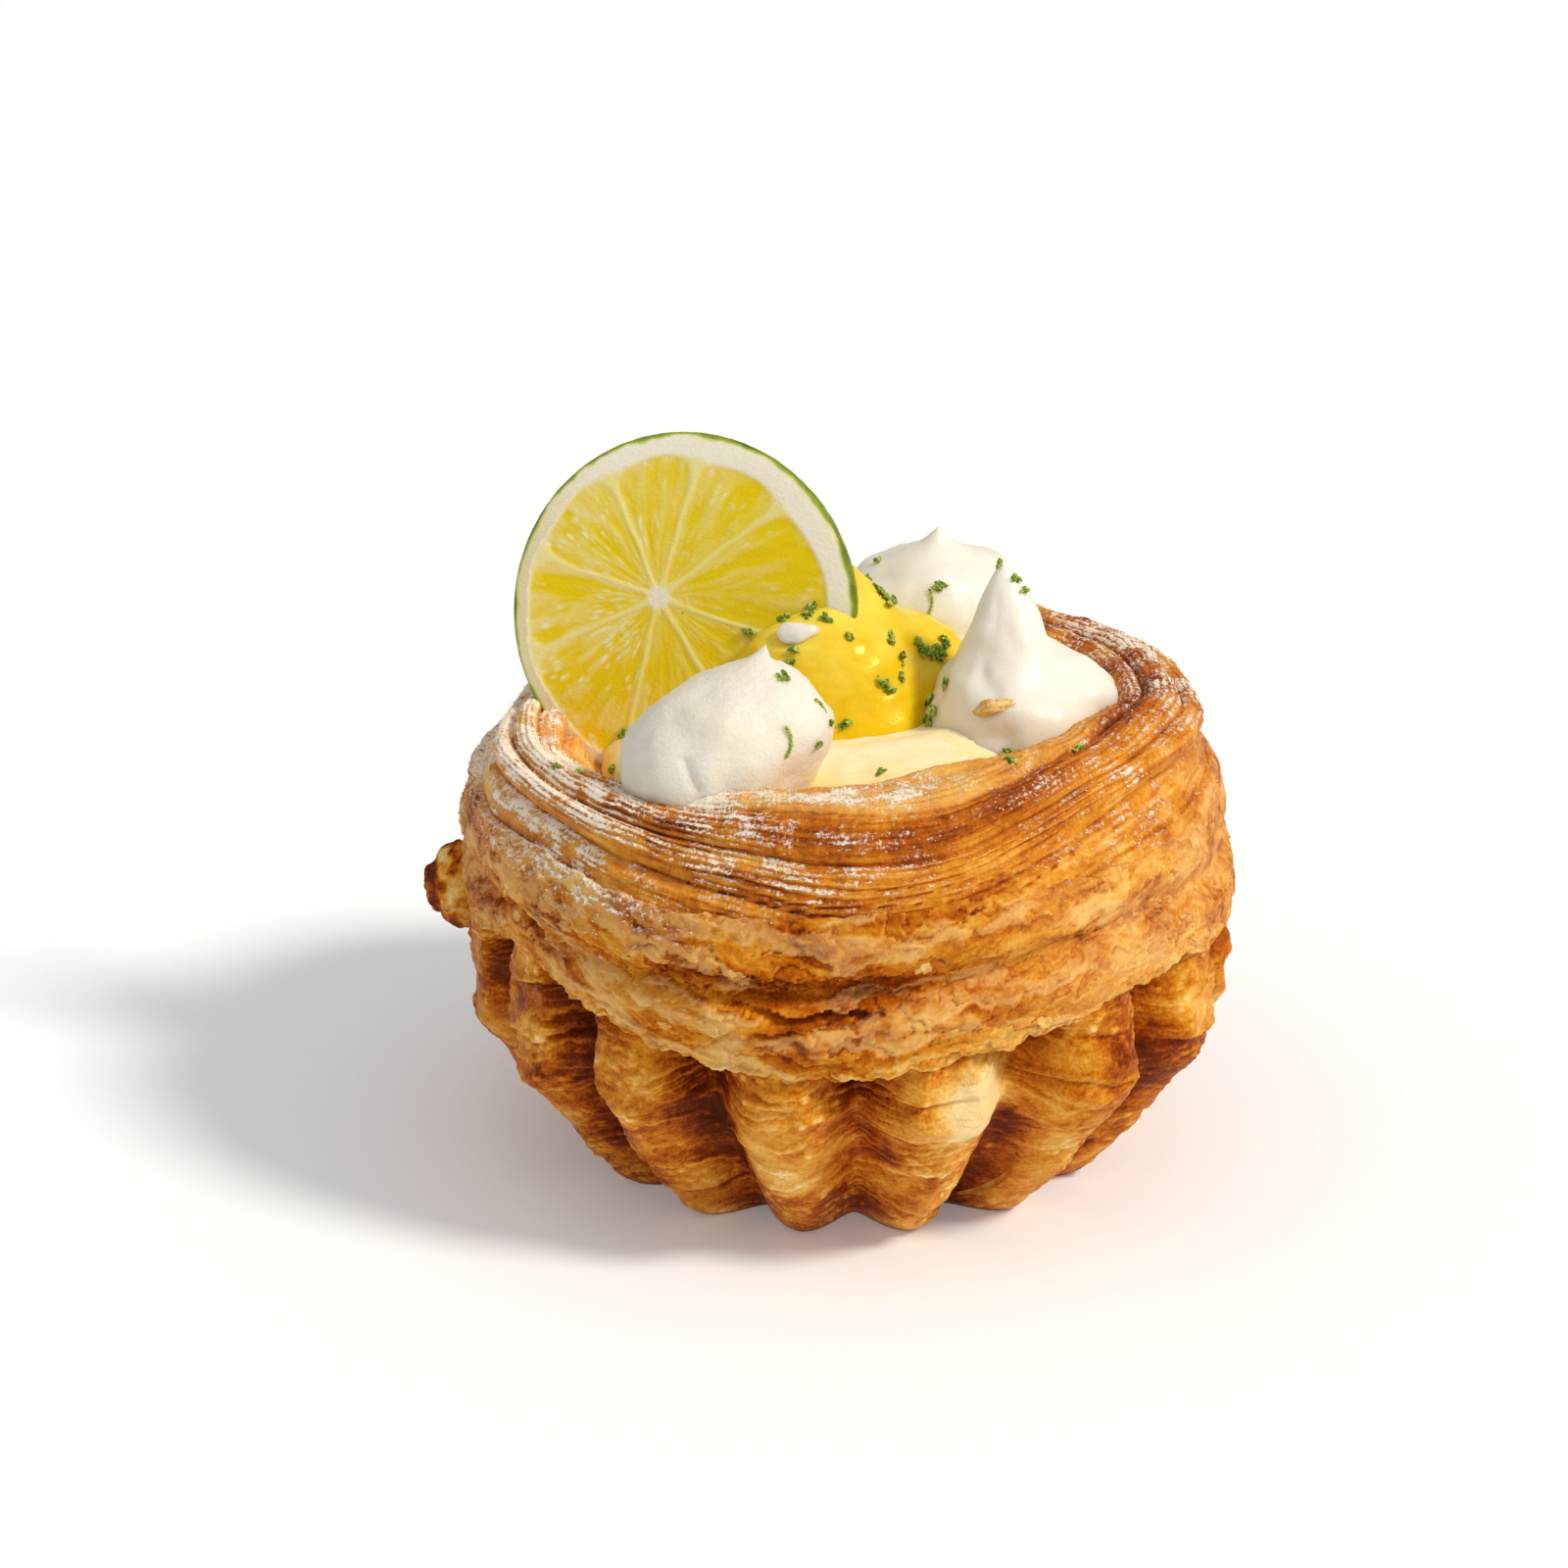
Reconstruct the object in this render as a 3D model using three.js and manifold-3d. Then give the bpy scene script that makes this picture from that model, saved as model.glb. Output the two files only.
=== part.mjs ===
// A lime danish: laminated dough baked in a fluted mould, with a coiled collar round a well.
// The well holds custard cream, lime curd, three soft meringue kisses, a lime slice and lime zest.
// Millimetres, +Z up. The origin is the middle of the flat base, and the front faces -Y.

import * as THREE from "three";
import { mergeVertices } from "three/addons/utils/BufferGeometryUtils.js";
import Module from "manifold-3d";

const wasm = await Module();
wasm.setup();

const { degToRad, lerp, smoothstep } = THREE.MathUtils;

// Space left between pieces that touch
const gap = 0.3;

// Fluted cup: radii of a flute's crest, how deep and round the valleys are, how broad the crests grow towards
// the top, how they lean back in above their widest place, and how the flutes drift from even spacing
const cup = {
  flutes: 15,
  firstCrest: degToRad(-76),
  drift: degToRad(3),
  driftFrom: degToRad(-112),
  baseRadius: 35.4,
  topRadius: 54.6,
  fullHeight: 24.5,
  bulge: 0.9,
  depthAtBase: 6.5,
  depthAtTop: 7.6,
  crestPowerAtBase: 0.8,
  crestPowerAtTop: 0.45,
  valleyRound: 0.03,
  leanIn: 0.12,
  unevenShare: 0.5,
  footRound: 1,
  tuck: 2.5,
  overhang: 0.5,
};

// Collar: its lower lip overhangs the flutes, hangs low at the front and lifts on both sides of that,
// its rim is highest at the back right, and two sides are slimmer: the right high up, the left low down
const collar = {
  lipRadius: 53.4,
  lipHeight: 36.2,
  lipWaves: [
    { middle: degToRad(-98), spread: degToRad(32), rise: -5 },
    { middle: degToRad(-42), spread: degToRad(17), rise: 3.2 },
    { middle: degToRad(-145), spread: degToRad(14), rise: 2.2 },
  ],
  bellyRadius: 54.4,
  rimRadius: 41.3,
  rimHeight: 64.5,
  rimTilt: 2.8,
  highSide: degToRad(18),
  mouthRadius: 31,
  mouthHeight: 61.5,
  mouthBlend: 0.12,
  slims: [
    { middle: degToRad(-4), spread: degToRad(42), low: 0, high: 2.6 },
    { middle: degToRad(178), spread: degToRad(38), low: 2, high: 0 },
  ],
};

// Where the collar's section passes between its lip, its belly, its rim and the mouth
const collarSteps = {
  lowerIn: 0.3,
  lowerRise: 3.5,
  bellyRise: 8.5,
  bellySlim: 0.4,
  waistIn: 1.7,
  waistShare: 0.52,
  shoulderShare: 0.34,
  shoulderDrop: 8.5,
  shoulderSlim: 1.2,
  crownShare: 0.43,
  crownDrop: 2.3,
  innerShare: 0.45,
  innerFall: 0.25,
};

// The left of the mouth lies open under the lime slice, and the front of the rim rolls inwards
const openSide = { middle: degToRad(180), spread: degToRad(60), rimOut: 2.4, mouthOut: 4.6, mouthDrop: 6.2 };
const frontRoll = { middle: degToRad(-70), spread: degToRad(38), rimIn: 3.8, rise: 2.7 };

// Rolls of the wound dough on top of the collar, which sag at the front, with a groove between each two
const rolls = {
  first: 0.45,
  pitch: 0.12,
  begin: [0.4, 0.53],
  finish: [0.91, 0.97],
  depth: 1.2,
  width: 0.2,
  level: 0.1,
  sag: 0.115,
  sagSide: { middle: degToRad(-78), spread: degToRad(40) },
};

// Folds in the collar's side: each wanders about a level and fades away from the side it faces
const folds = {
  depth: 1.7,
  width: 0.045,
  paths: [
    { level: 0.2, swing: 0.03, waves: 3, phase: 0.4, facing: 1.9, fade: [-0.2, 0.8] },
    { level: 0.215, swing: -0.03, waves: 1, phase: 0.9, facing: 0.5, fade: [0, 0.8] },
  ],
};

// Dark tip of the rolled strip, which stands out on the left
const strip = { turn: degToRad(174), radius: 53.6, height: 34.2, size: [5.6, 4.2, 6.2] };

// Well in the middle of the collar
const well = { floorHeight: 43, floorRadius: 27, wallRadius: 29.6, wallHeight: 51.5 };

// Custard cream: a thick piped bead round a lower middle
const cream = {
  edgeHeight: 59,
  edgeDrop: 5.5,
  edgeIn: 0.1,
  flankShare: 0.8,
  flankRise: 0.65,
  beadRadius: 20.5,
  beadHeight: 64.7,
  innerIn: 6,
  innerRise: 0.4,
  middleIn: 12,
  middleHeight: 62.5,
};

// Lime curd: one spoonful drawn up to a peak, with a broad fold in front
const curd = {
  at: [0.6, 3.5, 60.5],
  radius: 14.5,
  height: 20.7,
  section: [
    [0, 0], [0.86, 0.02], [1, 0.1], [0.84, 0.24], [0.6, 0.38],
    [0.42, 0.52], [0.3, 0.68], [0.17, 0.86], [0, 1],
  ],
  fold: { at: [-4.2, -3.6, 64.5], size: [12.4, 8.4, 12.4] },
};

// Lime slice: a whole wheel, leaning back and turned to the left, a little narrower behind
const slice = {
  centre: [-22.0, 5, 74.5],
  radius: 24.9,
  thickness: 4.6,
  turn: degToRad(-17.5),
  lean: degToRad(16),
  pith: 2.9,
  segmentWalls: [41, 78, 118, 167, 209, 262, 307, 347].map((angle) => degToRad(angle)),
  wallRise: 0.35,
  wallEdge: [0.02, 0.12],
  fleshRings: [0, 0.45, 0.86, 1],
  rindIn: 0.7,
  rindDrop: 0.8,
  taper: 1.1,
};

// Sections of a meringue kiss, across and up: a plump egg with a short tip, a broad dome with a thin tip,
// or a cone drawn up to a peak
const plumpSection = [
  [0, 0], [0.62, 0.03], [0.93, 0.18], [1, 0.37], [0.93, 0.56],
  [0.72, 0.73], [0.42, 0.84], [0.15, 0.91], [0, 1],
];
const domedSection = [
  [0, 0], [0.64, 0.03], [0.94, 0.17], [1, 0.35], [0.95, 0.54],
  [0.82, 0.69], [0.62, 0.785], [0.36, 0.85], [0.17, 0.905], [0, 1],
];
const drawnSection = [
  [0, 0], [0.7, 0.01], [1, 0.12], [0.98, 0.27], [0.8, 0.42],
  [0.58, 0.57], [0.38, 0.73], [0.16, 0.91], [0, 1],
];
const leanPower = 1.6;

// A round toe on one side of a kiss, with a hollow above it
const rightToe = {
  side: { middle: degToRad(8), spread: degToRad(42) },
  level: 0.37,
  reach: 0.11,
  swell: 0.2,
  hollowLevel: 0.63,
  hollowReach: 0.12,
  hollow: 0.15,
};

// Meringue kisses: where each foot stands, its half widths, its height and where its peak leans
const kisses = {
  meringue_front: {
    at: [-18, -25.5, 56.4], radius: [13.2, 12.2], height: 23.4, lean: [7.2, 1.8], section: plumpSection,
  },
  meringue_right: {
    at: [22.9, -7, 58.9], radius: [12.4, 11.6], height: 26.4, lean: [-2.4, 2], section: drawnSection,
    toe: rightToe,
  },
  meringue_back: {
    at: [11.6, 22, 58.1], radius: [14.2, 12.6], height: 24, lean: [0.8, -1.5], section: domedSection,
  },
};

// Lime zest: flecks strewn over the filling, each a bent grain sunk into what it lies on
const zest = {
  flecks: 36,
  middle: [4, -5],
  spread: 31,
  spreadPower: 0.6,
  length: [0.9, 2.1],
  width: [0.45, 0.8],
  sink: 0.3,
  dropHeight: 130,
  seed: 20,
};

// Sides and rows of the skins
const grain = {
  crust: 105,
  fluteRows: 6,
  collarRows: 18,
  strip: 14,
  stripRows: 8,
  cream: 30,
  creamRows: 8,
  curd: 22,
  curdRows: 11,
  kiss: 22,
  kissRows: 11,
  slice: 40,
};

const colours = {
  crust: 0xc07a35, cream: 0xf6e3ae, curd: 0xeec52c, meringue: 0xf5f0e2, lime: 0xd3bf3e,
};

// Uneven baking: a few slow waves round the pastry
function unevenness(turn, along) {
  return (
    0.5 * Math.sin(2 * turn + 3.7) +
    0.6 * Math.sin(3 * turn - 1.1 + 4 * along) +
    0.45 * Math.sin(5 * turn - 1.2 + 7 * along) +
    0.3 * Math.sin(9 * turn + 3 + 11 * along)
  );
}

// A round dip of unit depth, at a distance from its middle
function dip(distance, width) {
  return Math.exp(-((distance / width) ** 2));
}

// How much a turn belongs to one side of the pastry, from 0 to 1
function sideShare(turn, { middle, spread }) {
  const away = Math.atan2(Math.sin(turn - middle), Math.cos(turn - middle));
  return dip(away, spread);
}

// 1 on a flute's crest and 0 in a valley; share is the way up the cup
function fluteWave(turn, share) {
  const drifted = turn - cup.drift * (1 - Math.cos(turn - cup.driftFrom));
  const wave = (1 + Math.cos(cup.flutes * (drifted - cup.firstCrest))) / 2;
  const power = lerp(cup.crestPowerAtBase, cup.crestPowerAtTop, share);
  const lowest = cup.valleyRound ** power;
  return ((wave + cup.valleyRound) ** power - lowest) / ((1 + cup.valleyRound) ** power - lowest);
}

function fluteRadius(turn, height) {
  const share = Math.min(1, height / cup.fullHeight);
  const even = lerp(cup.baseRadius, cup.topRadius, share ** cup.bulge);
  const back = cup.leanIn * Math.max(0, height - cup.fullHeight);
  const crest = even - back + cup.unevenShare * unevenness(turn, 0) * share;
  const depth = lerp(cup.depthAtBase, cup.depthAtTop, share);
  return crest - depth * (1 - fluteWave(turn, share));
}

// The mouth of the well at a turn: its radius and height
function mouthAt(turn) {
  const open = sideShare(turn, openSide);
  return [collar.mouthRadius + open * openSide.mouthOut, collar.mouthHeight - open * openSide.mouthDrop];
}

// How much wider than round the well is at a turn
function wellStretch(turn) {
  return mouthAt(turn)[0] / collar.mouthRadius;
}

function lipAt(turn) {
  const waves = collar.lipWaves.map((wave) => wave.rise * sideShare(turn, wave));
  return waves.reduce((height, rise) => height + rise, collar.lipHeight);
}

// How far in the collar's side stands at a turn, low down and high up
function slimAt(turn) {
  const slim = (level) => collar.slims.reduce((sum, side) => sum + side[level] * sideShare(turn, side), 0);
  return { low: slim("low"), high: slim("high") };
}

// The collar's section at a turn, from its lower lip over the rim to the mouth of the well
function collarSection(turn) {
  const front = sideShare(turn, frontRoll);
  const lip = lipAt(turn);
  const rim = collar.rimHeight + collar.rimTilt * Math.cos(turn - collar.highSide) + front * frontRoll.rise;
  const rimRadius = collar.rimRadius + sideShare(turn, openSide) * openSide.rimOut - front * frontRoll.rimIn;
  const mouth = mouthAt(turn);
  const steps = collarSteps;
  const slim = slimAt(turn);
  const shoulder = lerp(collar.bellyRadius, rimRadius, steps.shoulderShare) - slim.high * steps.shoulderSlim;
  const points = [
    [collar.lipRadius - slim.low, lip],
    [collar.bellyRadius - slim.low - steps.lowerIn, lip + steps.lowerRise],
    [collar.bellyRadius - lerp(slim.low, slim.high, steps.bellySlim), lip + steps.bellyRise],
    [collar.bellyRadius - slim.high - steps.waistIn, lerp(lip, rim, steps.waistShare)],
    [shoulder, rim - steps.shoulderDrop],
    [lerp(rimRadius, collar.bellyRadius, steps.crownShare), rim - steps.crownDrop],
    [rimRadius, rim],
    [lerp(rimRadius, mouth[0], steps.innerShare), lerp(rim, mouth[1], steps.innerFall)],
    mouth,
  ];
  return new THREE.SplineCurve(points.map(([radius, height]) => new THREE.Vector2(radius, height)));
}

// Groove between two rolls: 1 in its middle, 0 off the rolled top
function rollGroove(turn, along) {
  const sag = rolls.level - rolls.sag * sideShare(turn, rolls.sagSide);
  const roll = (along - sag - rolls.first) / rolls.pitch;
  const onTop = smoothstep(along, ...rolls.begin) * (1 - smoothstep(along, ...rolls.finish));
  return onTop * dip(roll - Math.round(roll), rolls.width);
}

function foldDip(turn, along) {
  return folds.paths
    .map(({ level, swing, waves, phase, facing, fade }) => {
      const away = along - level - swing * Math.sin(waves * turn + phase);
      return dip(away, folds.width) * smoothstep(Math.cos(turn + facing), ...fade);
    })
    .reduce((total, depth) => total + depth, 0);
}

// How far the collar stands proud of its section: waves, grooves on top and folds in the side
function collarRelief(turn, along) {
  return unevenness(turn, along) - rolls.depth * rollGroove(turn, along) - folds.depth * foldDip(turn, along);
}

// A point of the collar's skin: its radius and height
function collarPoint(turn, section, along) {
  const point = section.getPointAt(along);
  const tangent = section.getTangentAt(along);
  const relief = collarRelief(turn, along) * smoothstep(1 - along, 0, collar.mouthBlend);
  return [point.x + tangent.y * relief, point.y - tangent.x * relief];
}

// A lathe turned about Z whose points are then moved to the radius and height that shape gives for each
function turned(profile, sides, shape) {
  const geometry = new THREE.LatheGeometry(profile, sides).rotateX(Math.PI / 2);
  const points = geometry.getAttribute("position");
  for (let i = 0; i < points.count; i++) {
    const row = i % profile.length;
    const { x: radius, y: height } = profile[row];
    const turn = (Math.floor(i / profile.length) / sides) * 2 * Math.PI - Math.PI / 2;
    const [newRadius, newHeight] = shape(turn, row, radius, height);
    points.setXYZ(i, newRadius * Math.cos(turn), newRadius * Math.sin(turn), newHeight);
  }
  return geometry;
}

function solidOf(geometry) {
  const bare = geometry.clone();
  for (const name of Object.keys(bare.attributes)) {
    if (name !== "position") bare.deleteAttribute(name);
  }
  const merged = mergeVertices(bare, 1e-4);
  return new wasm.Manifold(
    new wasm.Mesh({
      numProp: 3,
      vertProperties: merged.getAttribute("position").array,
      triVerts: new Uint32Array(merged.index.array),
    }),
  );
}

function geometryOf(solid) {
  const { vertProperties, triVerts } = solid.getMesh();
  const geometry = new THREE.BufferGeometry();
  geometry.setAttribute("position", new THREE.BufferAttribute(vertProperties, 3));
  geometry.setIndex(new THREE.BufferAttribute(triVerts, 1));
  geometry.computeVertexNormals();
  return geometry;
}

// The same skin moved outwards, to cut room for a piece in its neighbours
function grown(geometry, distance) {
  const bare = geometry.clone();
  bare.deleteAttribute("uv");
  bare.deleteAttribute("normal");
  const skin = mergeVertices(bare, 1e-4);
  skin.computeVertexNormals();
  const points = skin.getAttribute("position");
  const normals = skin.getAttribute("normal");
  const point = new THREE.Vector3();
  const normal = new THREE.Vector3();
  for (let i = 0; i < points.count; i++) {
    point.fromBufferAttribute(points, i).addScaledVector(normal.fromBufferAttribute(normals, i), distance);
    points.setXYZ(i, point.x, point.y, point.z);
  }
  return skin;
}

// Cuts can leave crumbs behind: only the largest piece is kept
function largestPiece(solid) {
  return solid.decompose().sort((a, b) => b.volume() - a.volume())[0];
}

function crustGeometry() {
  const rows = [{ zone: "pole", height: 0 }, { zone: "foot" }];
  for (let i = 0; i <= grain.fluteRows; i++) rows.push({ zone: "flute", share: i / grain.fluteRows });
  for (let i = 0; i <= grain.collarRows; i++) rows.push({ zone: "collar", share: i / grain.collarRows });
  rows.push({ zone: "well", radius: well.wallRadius, height: well.wallHeight });
  rows.push({ zone: "well", radius: well.floorRadius, height: well.floorHeight });
  rows.push({ zone: "pole", height: well.floorHeight });

  const sections = new Map();
  const profile = rows.map((row, i) => new THREE.Vector2(row.zone === "pole" ? 0 : 1, i));
  return turned(profile, grain.crust, (turn, row) => {
    const { zone, share, radius, height } = rows[row];
    if (zone === "pole") return [0, height];
    if (zone === "well") return [radius * wellStretch(turn), height];
    if (!sections.has(turn)) sections.set(turn, collarSection(turn));
    const section = sections.get(turn);
    if (zone === "collar") return collarPoint(turn, section, share);
    if (zone === "foot") return [fluteRadius(turn, 0) - cup.footRound, 0];
    const lip = collarPoint(turn, section, 0);
    const top = lip[1] + cup.tuck * (1 - fluteWave(turn, 1));
    const up = lerp(cup.footRound, top, share);
    return [Math.min(fluteRadius(turn, up), lip[0] - cup.overhang), up];
  });
}

// The rolled strip's tip: a flattened knob set into the side
function stripTip() {
  const tip = new THREE.SphereGeometry(1, grain.strip, grain.stripRows).scale(...strip.size);
  return tip.translate(strip.radius, 0, strip.height).rotateZ(strip.turn);
}

// Cream up to an edge just under the mouth, which drops where the mouth lies open
function creamGeometry() {
  const floor = well.floorHeight + gap;
  const edgeRadius = well.wallRadius - gap - cream.edgeIn;
  const section = new THREE.SplineCurve(
    [
      [edgeRadius, cream.edgeHeight],
      [
        lerp(cream.beadRadius, edgeRadius, cream.flankShare),
        lerp(cream.edgeHeight, cream.beadHeight, cream.flankRise),
      ],
      [cream.beadRadius, cream.beadHeight],
      [cream.beadRadius - cream.innerIn, lerp(cream.middleHeight, cream.beadHeight, cream.innerRise)],
      [cream.beadRadius - cream.middleIn, cream.middleHeight],
      [0, cream.middleHeight],
    ].map(([radius, height]) => new THREE.Vector2(radius, height)),
  );
  const profile = [
    new THREE.Vector2(0, floor),
    new THREE.Vector2(well.floorRadius - gap, floor),
    new THREE.Vector2(edgeRadius, well.wallHeight),
    ...section.getPoints(grain.creamRows),
  ];
  const edgeRow = 3;
  return turned(profile, grain.cream, (turn, row, radius, height) => {
    const drop = row < edgeRow ? 0 : sideShare(turn, openSide) * cream.edgeDrop * (radius / edgeRadius);
    return [radius * wellStretch(turn), height - drop];
  });
}

// Curd: a peak with hollow sides, joined to the rounded fold in front of it
function curdSolid(extra) {
  const section = new THREE.SplineCurve(
    curd.section.map(([across, up]) => new THREE.Vector2(across * curd.radius, up * curd.height)),
  );
  const peak = turned(section.getPoints(grain.curdRows), grain.curd, (turn, row, radius, height) => {
    const share = height / curd.height;
    const lobes = 0.07 * Math.sin(3 * turn + 1 + 2 * share) + 0.05 * Math.sin(5 * turn + 5 * share);
    return [Math.max(0, radius) * (1 + lobes), height];
  });
  const fold = new THREE.SphereGeometry(1, grain.curd, grain.curdRows).rotateX(Math.PI / 2);
  fold.scale(...curd.fold.size);
  const skins = [peak.translate(...curd.at), fold.translate(...curd.fold.at)];
  const [first, second] = skins.map((skin) => solidOf(extra > 0 ? grown(skin, extra) : skin));
  return first.add(second);
}

// Bends a skin sideways, more and more towards its top
function leaning(geometry, height, lean) {
  const points = geometry.getAttribute("position");
  for (let i = 0; i < points.count; i++) {
    const share = Math.max(0, points.getZ(i) / height) ** leanPower;
    points.setX(i, points.getX(i) + lean[0] * share);
    points.setY(i, points.getY(i) + lean[1] * share);
  }
  return geometry;
}

// How much wider a kiss is at its toe, and narrower above that
function toeSwell(toe, turn, share) {
  const swell = toe.swell * dip(share - toe.level, toe.reach);
  const hollow = toe.hollow * dip(share - toe.hollowLevel, toe.hollowReach);
  return sideShare(turn, toe.side) * (swell - hollow);
}

// A kiss of meringue, bent towards where its peak leans
function kissGeometry({ at, radius, height, lean, section, toe }) {
  const line = new THREE.SplineCurve(section.map(([across, up]) => new THREE.Vector2(across, up * height)));
  const kiss = turned(line.getPoints(grain.kissRows), grain.kiss, (turn, row, across, up) => {
    const lobes = 0.03 * Math.sin(2 * turn + at[0]) + 0.035 * Math.sin(3 * turn + at[1] + (4 * up) / height);
    const swell = toe && across > 0 ? toeSwell(toe, turn, up / height) : 0;
    return [Math.max(0, across * (1 + lobes) + swell), up];
  });
  return leaning(kiss.scale(radius[0], radius[1], 1), height, lean).translate(...at);
}

// The wheel of lime: flesh between raised walls, with a flat ring of pith and rounded rind
function sliceGeometry() {
  const half = slice.thickness / 2;
  const flesh = slice.radius - slice.pith;
  const face = [
    ...slice.fleshRings.map((share) => [share * flesh, half]),
    [slice.radius - slice.rindIn, half],
    [slice.radius, half - slice.rindDrop],
  ];
  const profile = [
    ...face.map(([radius, height]) => new THREE.Vector2(radius, -height)),
    ...face.toReversed().map(([radius, height]) => new THREE.Vector2(radius, height)),
  ];
  const wheel = turned(profile, grain.slice, (turn, row, radius, height) => {
    const inFlesh = radius > 0 && radius < flesh;
    const offWall = Math.min(...slice.segmentWalls.map((wall) => Math.abs(Math.sin((turn - wall) / 2))));
    const sunk = inFlesh ? slice.wallRise * smoothstep(offWall, ...slice.wallEdge) : 0;
    const narrower = slice.taper * (0.5 - height / slice.thickness) * (radius / slice.radius);
    return [radius - narrower, height - Math.sign(height) * sunk];
  });
  return wheel
    .rotateX(Math.PI / 2 - slice.lean)
    .rotateZ(slice.turn)
    .translate(...slice.centre);
}

// A repeatable run of numbers from 0 to 1
function seeded(seed) {
  let state = seed;
  return () => {
    state = (state * 1664525 + 1013904223) % 4294967296;
    return state / 4294967296;
  };
}

// One fleck: a stretched grain, turned to lie on a surface
function fleck(point, normal, spin, length, width) {
  const geometry = new THREE.IcosahedronGeometry(1, 0).scale(length, width, width);
  const lie = new THREE.Quaternion().setFromUnitVectors(new THREE.Vector3(0, 0, 1), normal);
  geometry.rotateZ(spin).applyQuaternion(lie);
  return geometry.translate(...point.clone().addScaledVector(normal, width * (1 - 2 * zest.sink)).toArray());
}

// Drops flecks on the pieces from above, and joins each to what it lands on if it touches nothing else
function strewZest(solids) {
  const random = seeded(zest.seed);
  const targets = [...solids].map(([name, solid]) => {
    const mesh = new THREE.Mesh(geometryOf(solid));
    mesh.name = name;
    return mesh;
  });
  const caster = new THREE.Raycaster();
  const down = new THREE.Vector3(0, 0, -1);
  for (let i = 0; i < zest.flecks; i++) {
    const turn = 2 * Math.PI * random();
    const reach = zest.spread * random() ** zest.spreadPower;
    const length = lerp(...zest.length, random());
    const width = lerp(...zest.width, random());
    const spin = 2 * Math.PI * random();
    const from = new THREE.Vector3(
      zest.middle[0] + reach * Math.cos(turn),
      zest.middle[1] + reach * Math.sin(turn),
      zest.dropHeight,
    );
    caster.set(from, down);
    const [hit] = caster.intersectObjects(targets);
    if (!hit || hit.object.name === "lime_slice") continue;
    const shape = fleck(hit.point, hit.face.normal, spin, length, width);
    const room = solidOf(grown(shape, gap));
    const crowded = [...solids].some(
      ([name, solid]) => name !== hit.object.name && solid.intersect(room).volume() > 0,
    );
    if (!crowded) solids.set(hit.object.name, solids.get(hit.object.name).add(solidOf(shape)));
  }
}

function buildSolids() {
  const crustSkin = crustGeometry();
  const sliceSkin = sliceGeometry();
  const kissSkins = Object.entries(kisses).map(([name, kiss]) => [name, kissGeometry(kiss)]);

  const room = (skin) => solidOf(grown(skin, gap));
  const sliceRoom = room(sliceSkin);
  const kissRooms = kissSkins.map(([, skin]) => room(skin));
  const without = (solid, rooms) => rooms.reduce((rest, cutter) => rest.subtract(cutter), solid);

  const fillingRooms = [sliceRoom, curdSolid(gap), ...kissRooms];
  const crust = solidOf(crustSkin).subtract(sliceRoom).add(solidOf(stripTip()));
  const solids = new Map([
    ["pastry", largestPiece(crust)],
    ["custard_cream", largestPiece(without(solidOf(creamGeometry()), fillingRooms))],
    ["lime_curd", largestPiece(without(curdSolid(0), [sliceRoom, ...kissRooms]))],
    ["lime_slice", solidOf(sliceSkin)],
  ]);
  const crustRoom = room(crustSkin);
  for (const [name, skin] of kissSkins) {
    solids.set(name, largestPiece(without(solidOf(skin), [crustRoom, sliceRoom])));
  }
  strewZest(solids);
  return solids;
}

function finishOf(name) {
  if (name === "pastry") return { color: colours.crust, roughness: 0.55 };
  if (name === "custard_cream") return { color: colours.cream, roughness: 0.45 };
  if (name === "lime_curd") return { color: colours.curd, roughness: 0.18 };
  if (name === "lime_slice") return { color: colours.lime, roughness: 0.25 };
  return { color: colours.meringue, roughness: 0.7 };
}

const danish = new THREE.Group();
for (const [name, solid] of buildSolids()) {
  const material = new THREE.MeshStandardMaterial({ ...finishOf(name), metalness: 0 });
  const mesh = new THREE.Mesh(geometryOf(solid), material);
  mesh.name = name;
  danish.add(mesh);
}

export default danish;
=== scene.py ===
import math

import bmesh
import bpy
import numpy as np
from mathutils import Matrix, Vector
from mathutils.bvhtree import BVHTree


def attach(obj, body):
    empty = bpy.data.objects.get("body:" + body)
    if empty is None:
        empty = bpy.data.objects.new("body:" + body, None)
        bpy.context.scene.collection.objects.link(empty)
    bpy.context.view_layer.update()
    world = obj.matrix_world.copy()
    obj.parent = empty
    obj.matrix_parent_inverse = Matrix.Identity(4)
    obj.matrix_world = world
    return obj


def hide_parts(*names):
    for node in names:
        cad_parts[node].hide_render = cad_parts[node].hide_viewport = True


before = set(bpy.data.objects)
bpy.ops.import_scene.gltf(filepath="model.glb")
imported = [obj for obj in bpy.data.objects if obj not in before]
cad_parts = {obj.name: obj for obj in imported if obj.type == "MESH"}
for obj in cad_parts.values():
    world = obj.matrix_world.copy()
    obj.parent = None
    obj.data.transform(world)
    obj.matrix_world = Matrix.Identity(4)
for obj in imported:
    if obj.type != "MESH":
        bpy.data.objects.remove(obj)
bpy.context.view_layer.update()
fullTurn = 2 * math.pi
print("frame loaded")


# Shaping helpers: every size is in millimetres and every turn in radians
def lerp(a, b, share):
    return a + (b - a) * share


def smooth(value, low, high):
    share = np.clip((value - low) / (high - low), 0, 1)
    return share * share * (3 - 2 * share)


def dip(distance, width):
    return np.exp(-((distance / width) ** 2))


def apart(turn, middle):
    return np.arctan2(np.sin(turn - middle), np.cos(turn - middle))


def sideShare(turn, middle, spread):
    return dip(apart(turn, math.radians(middle)), math.radians(spread))


# Seeded noise: a scrambled number for each cell of space
slopes = np.array([(x, y, z) for x in (-1, 0, 1) for y in (-1, 0, 1) for z in (-1, 0, 1)
                   if abs(x) + abs(y) + abs(z) == 2], dtype=float)


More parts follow.
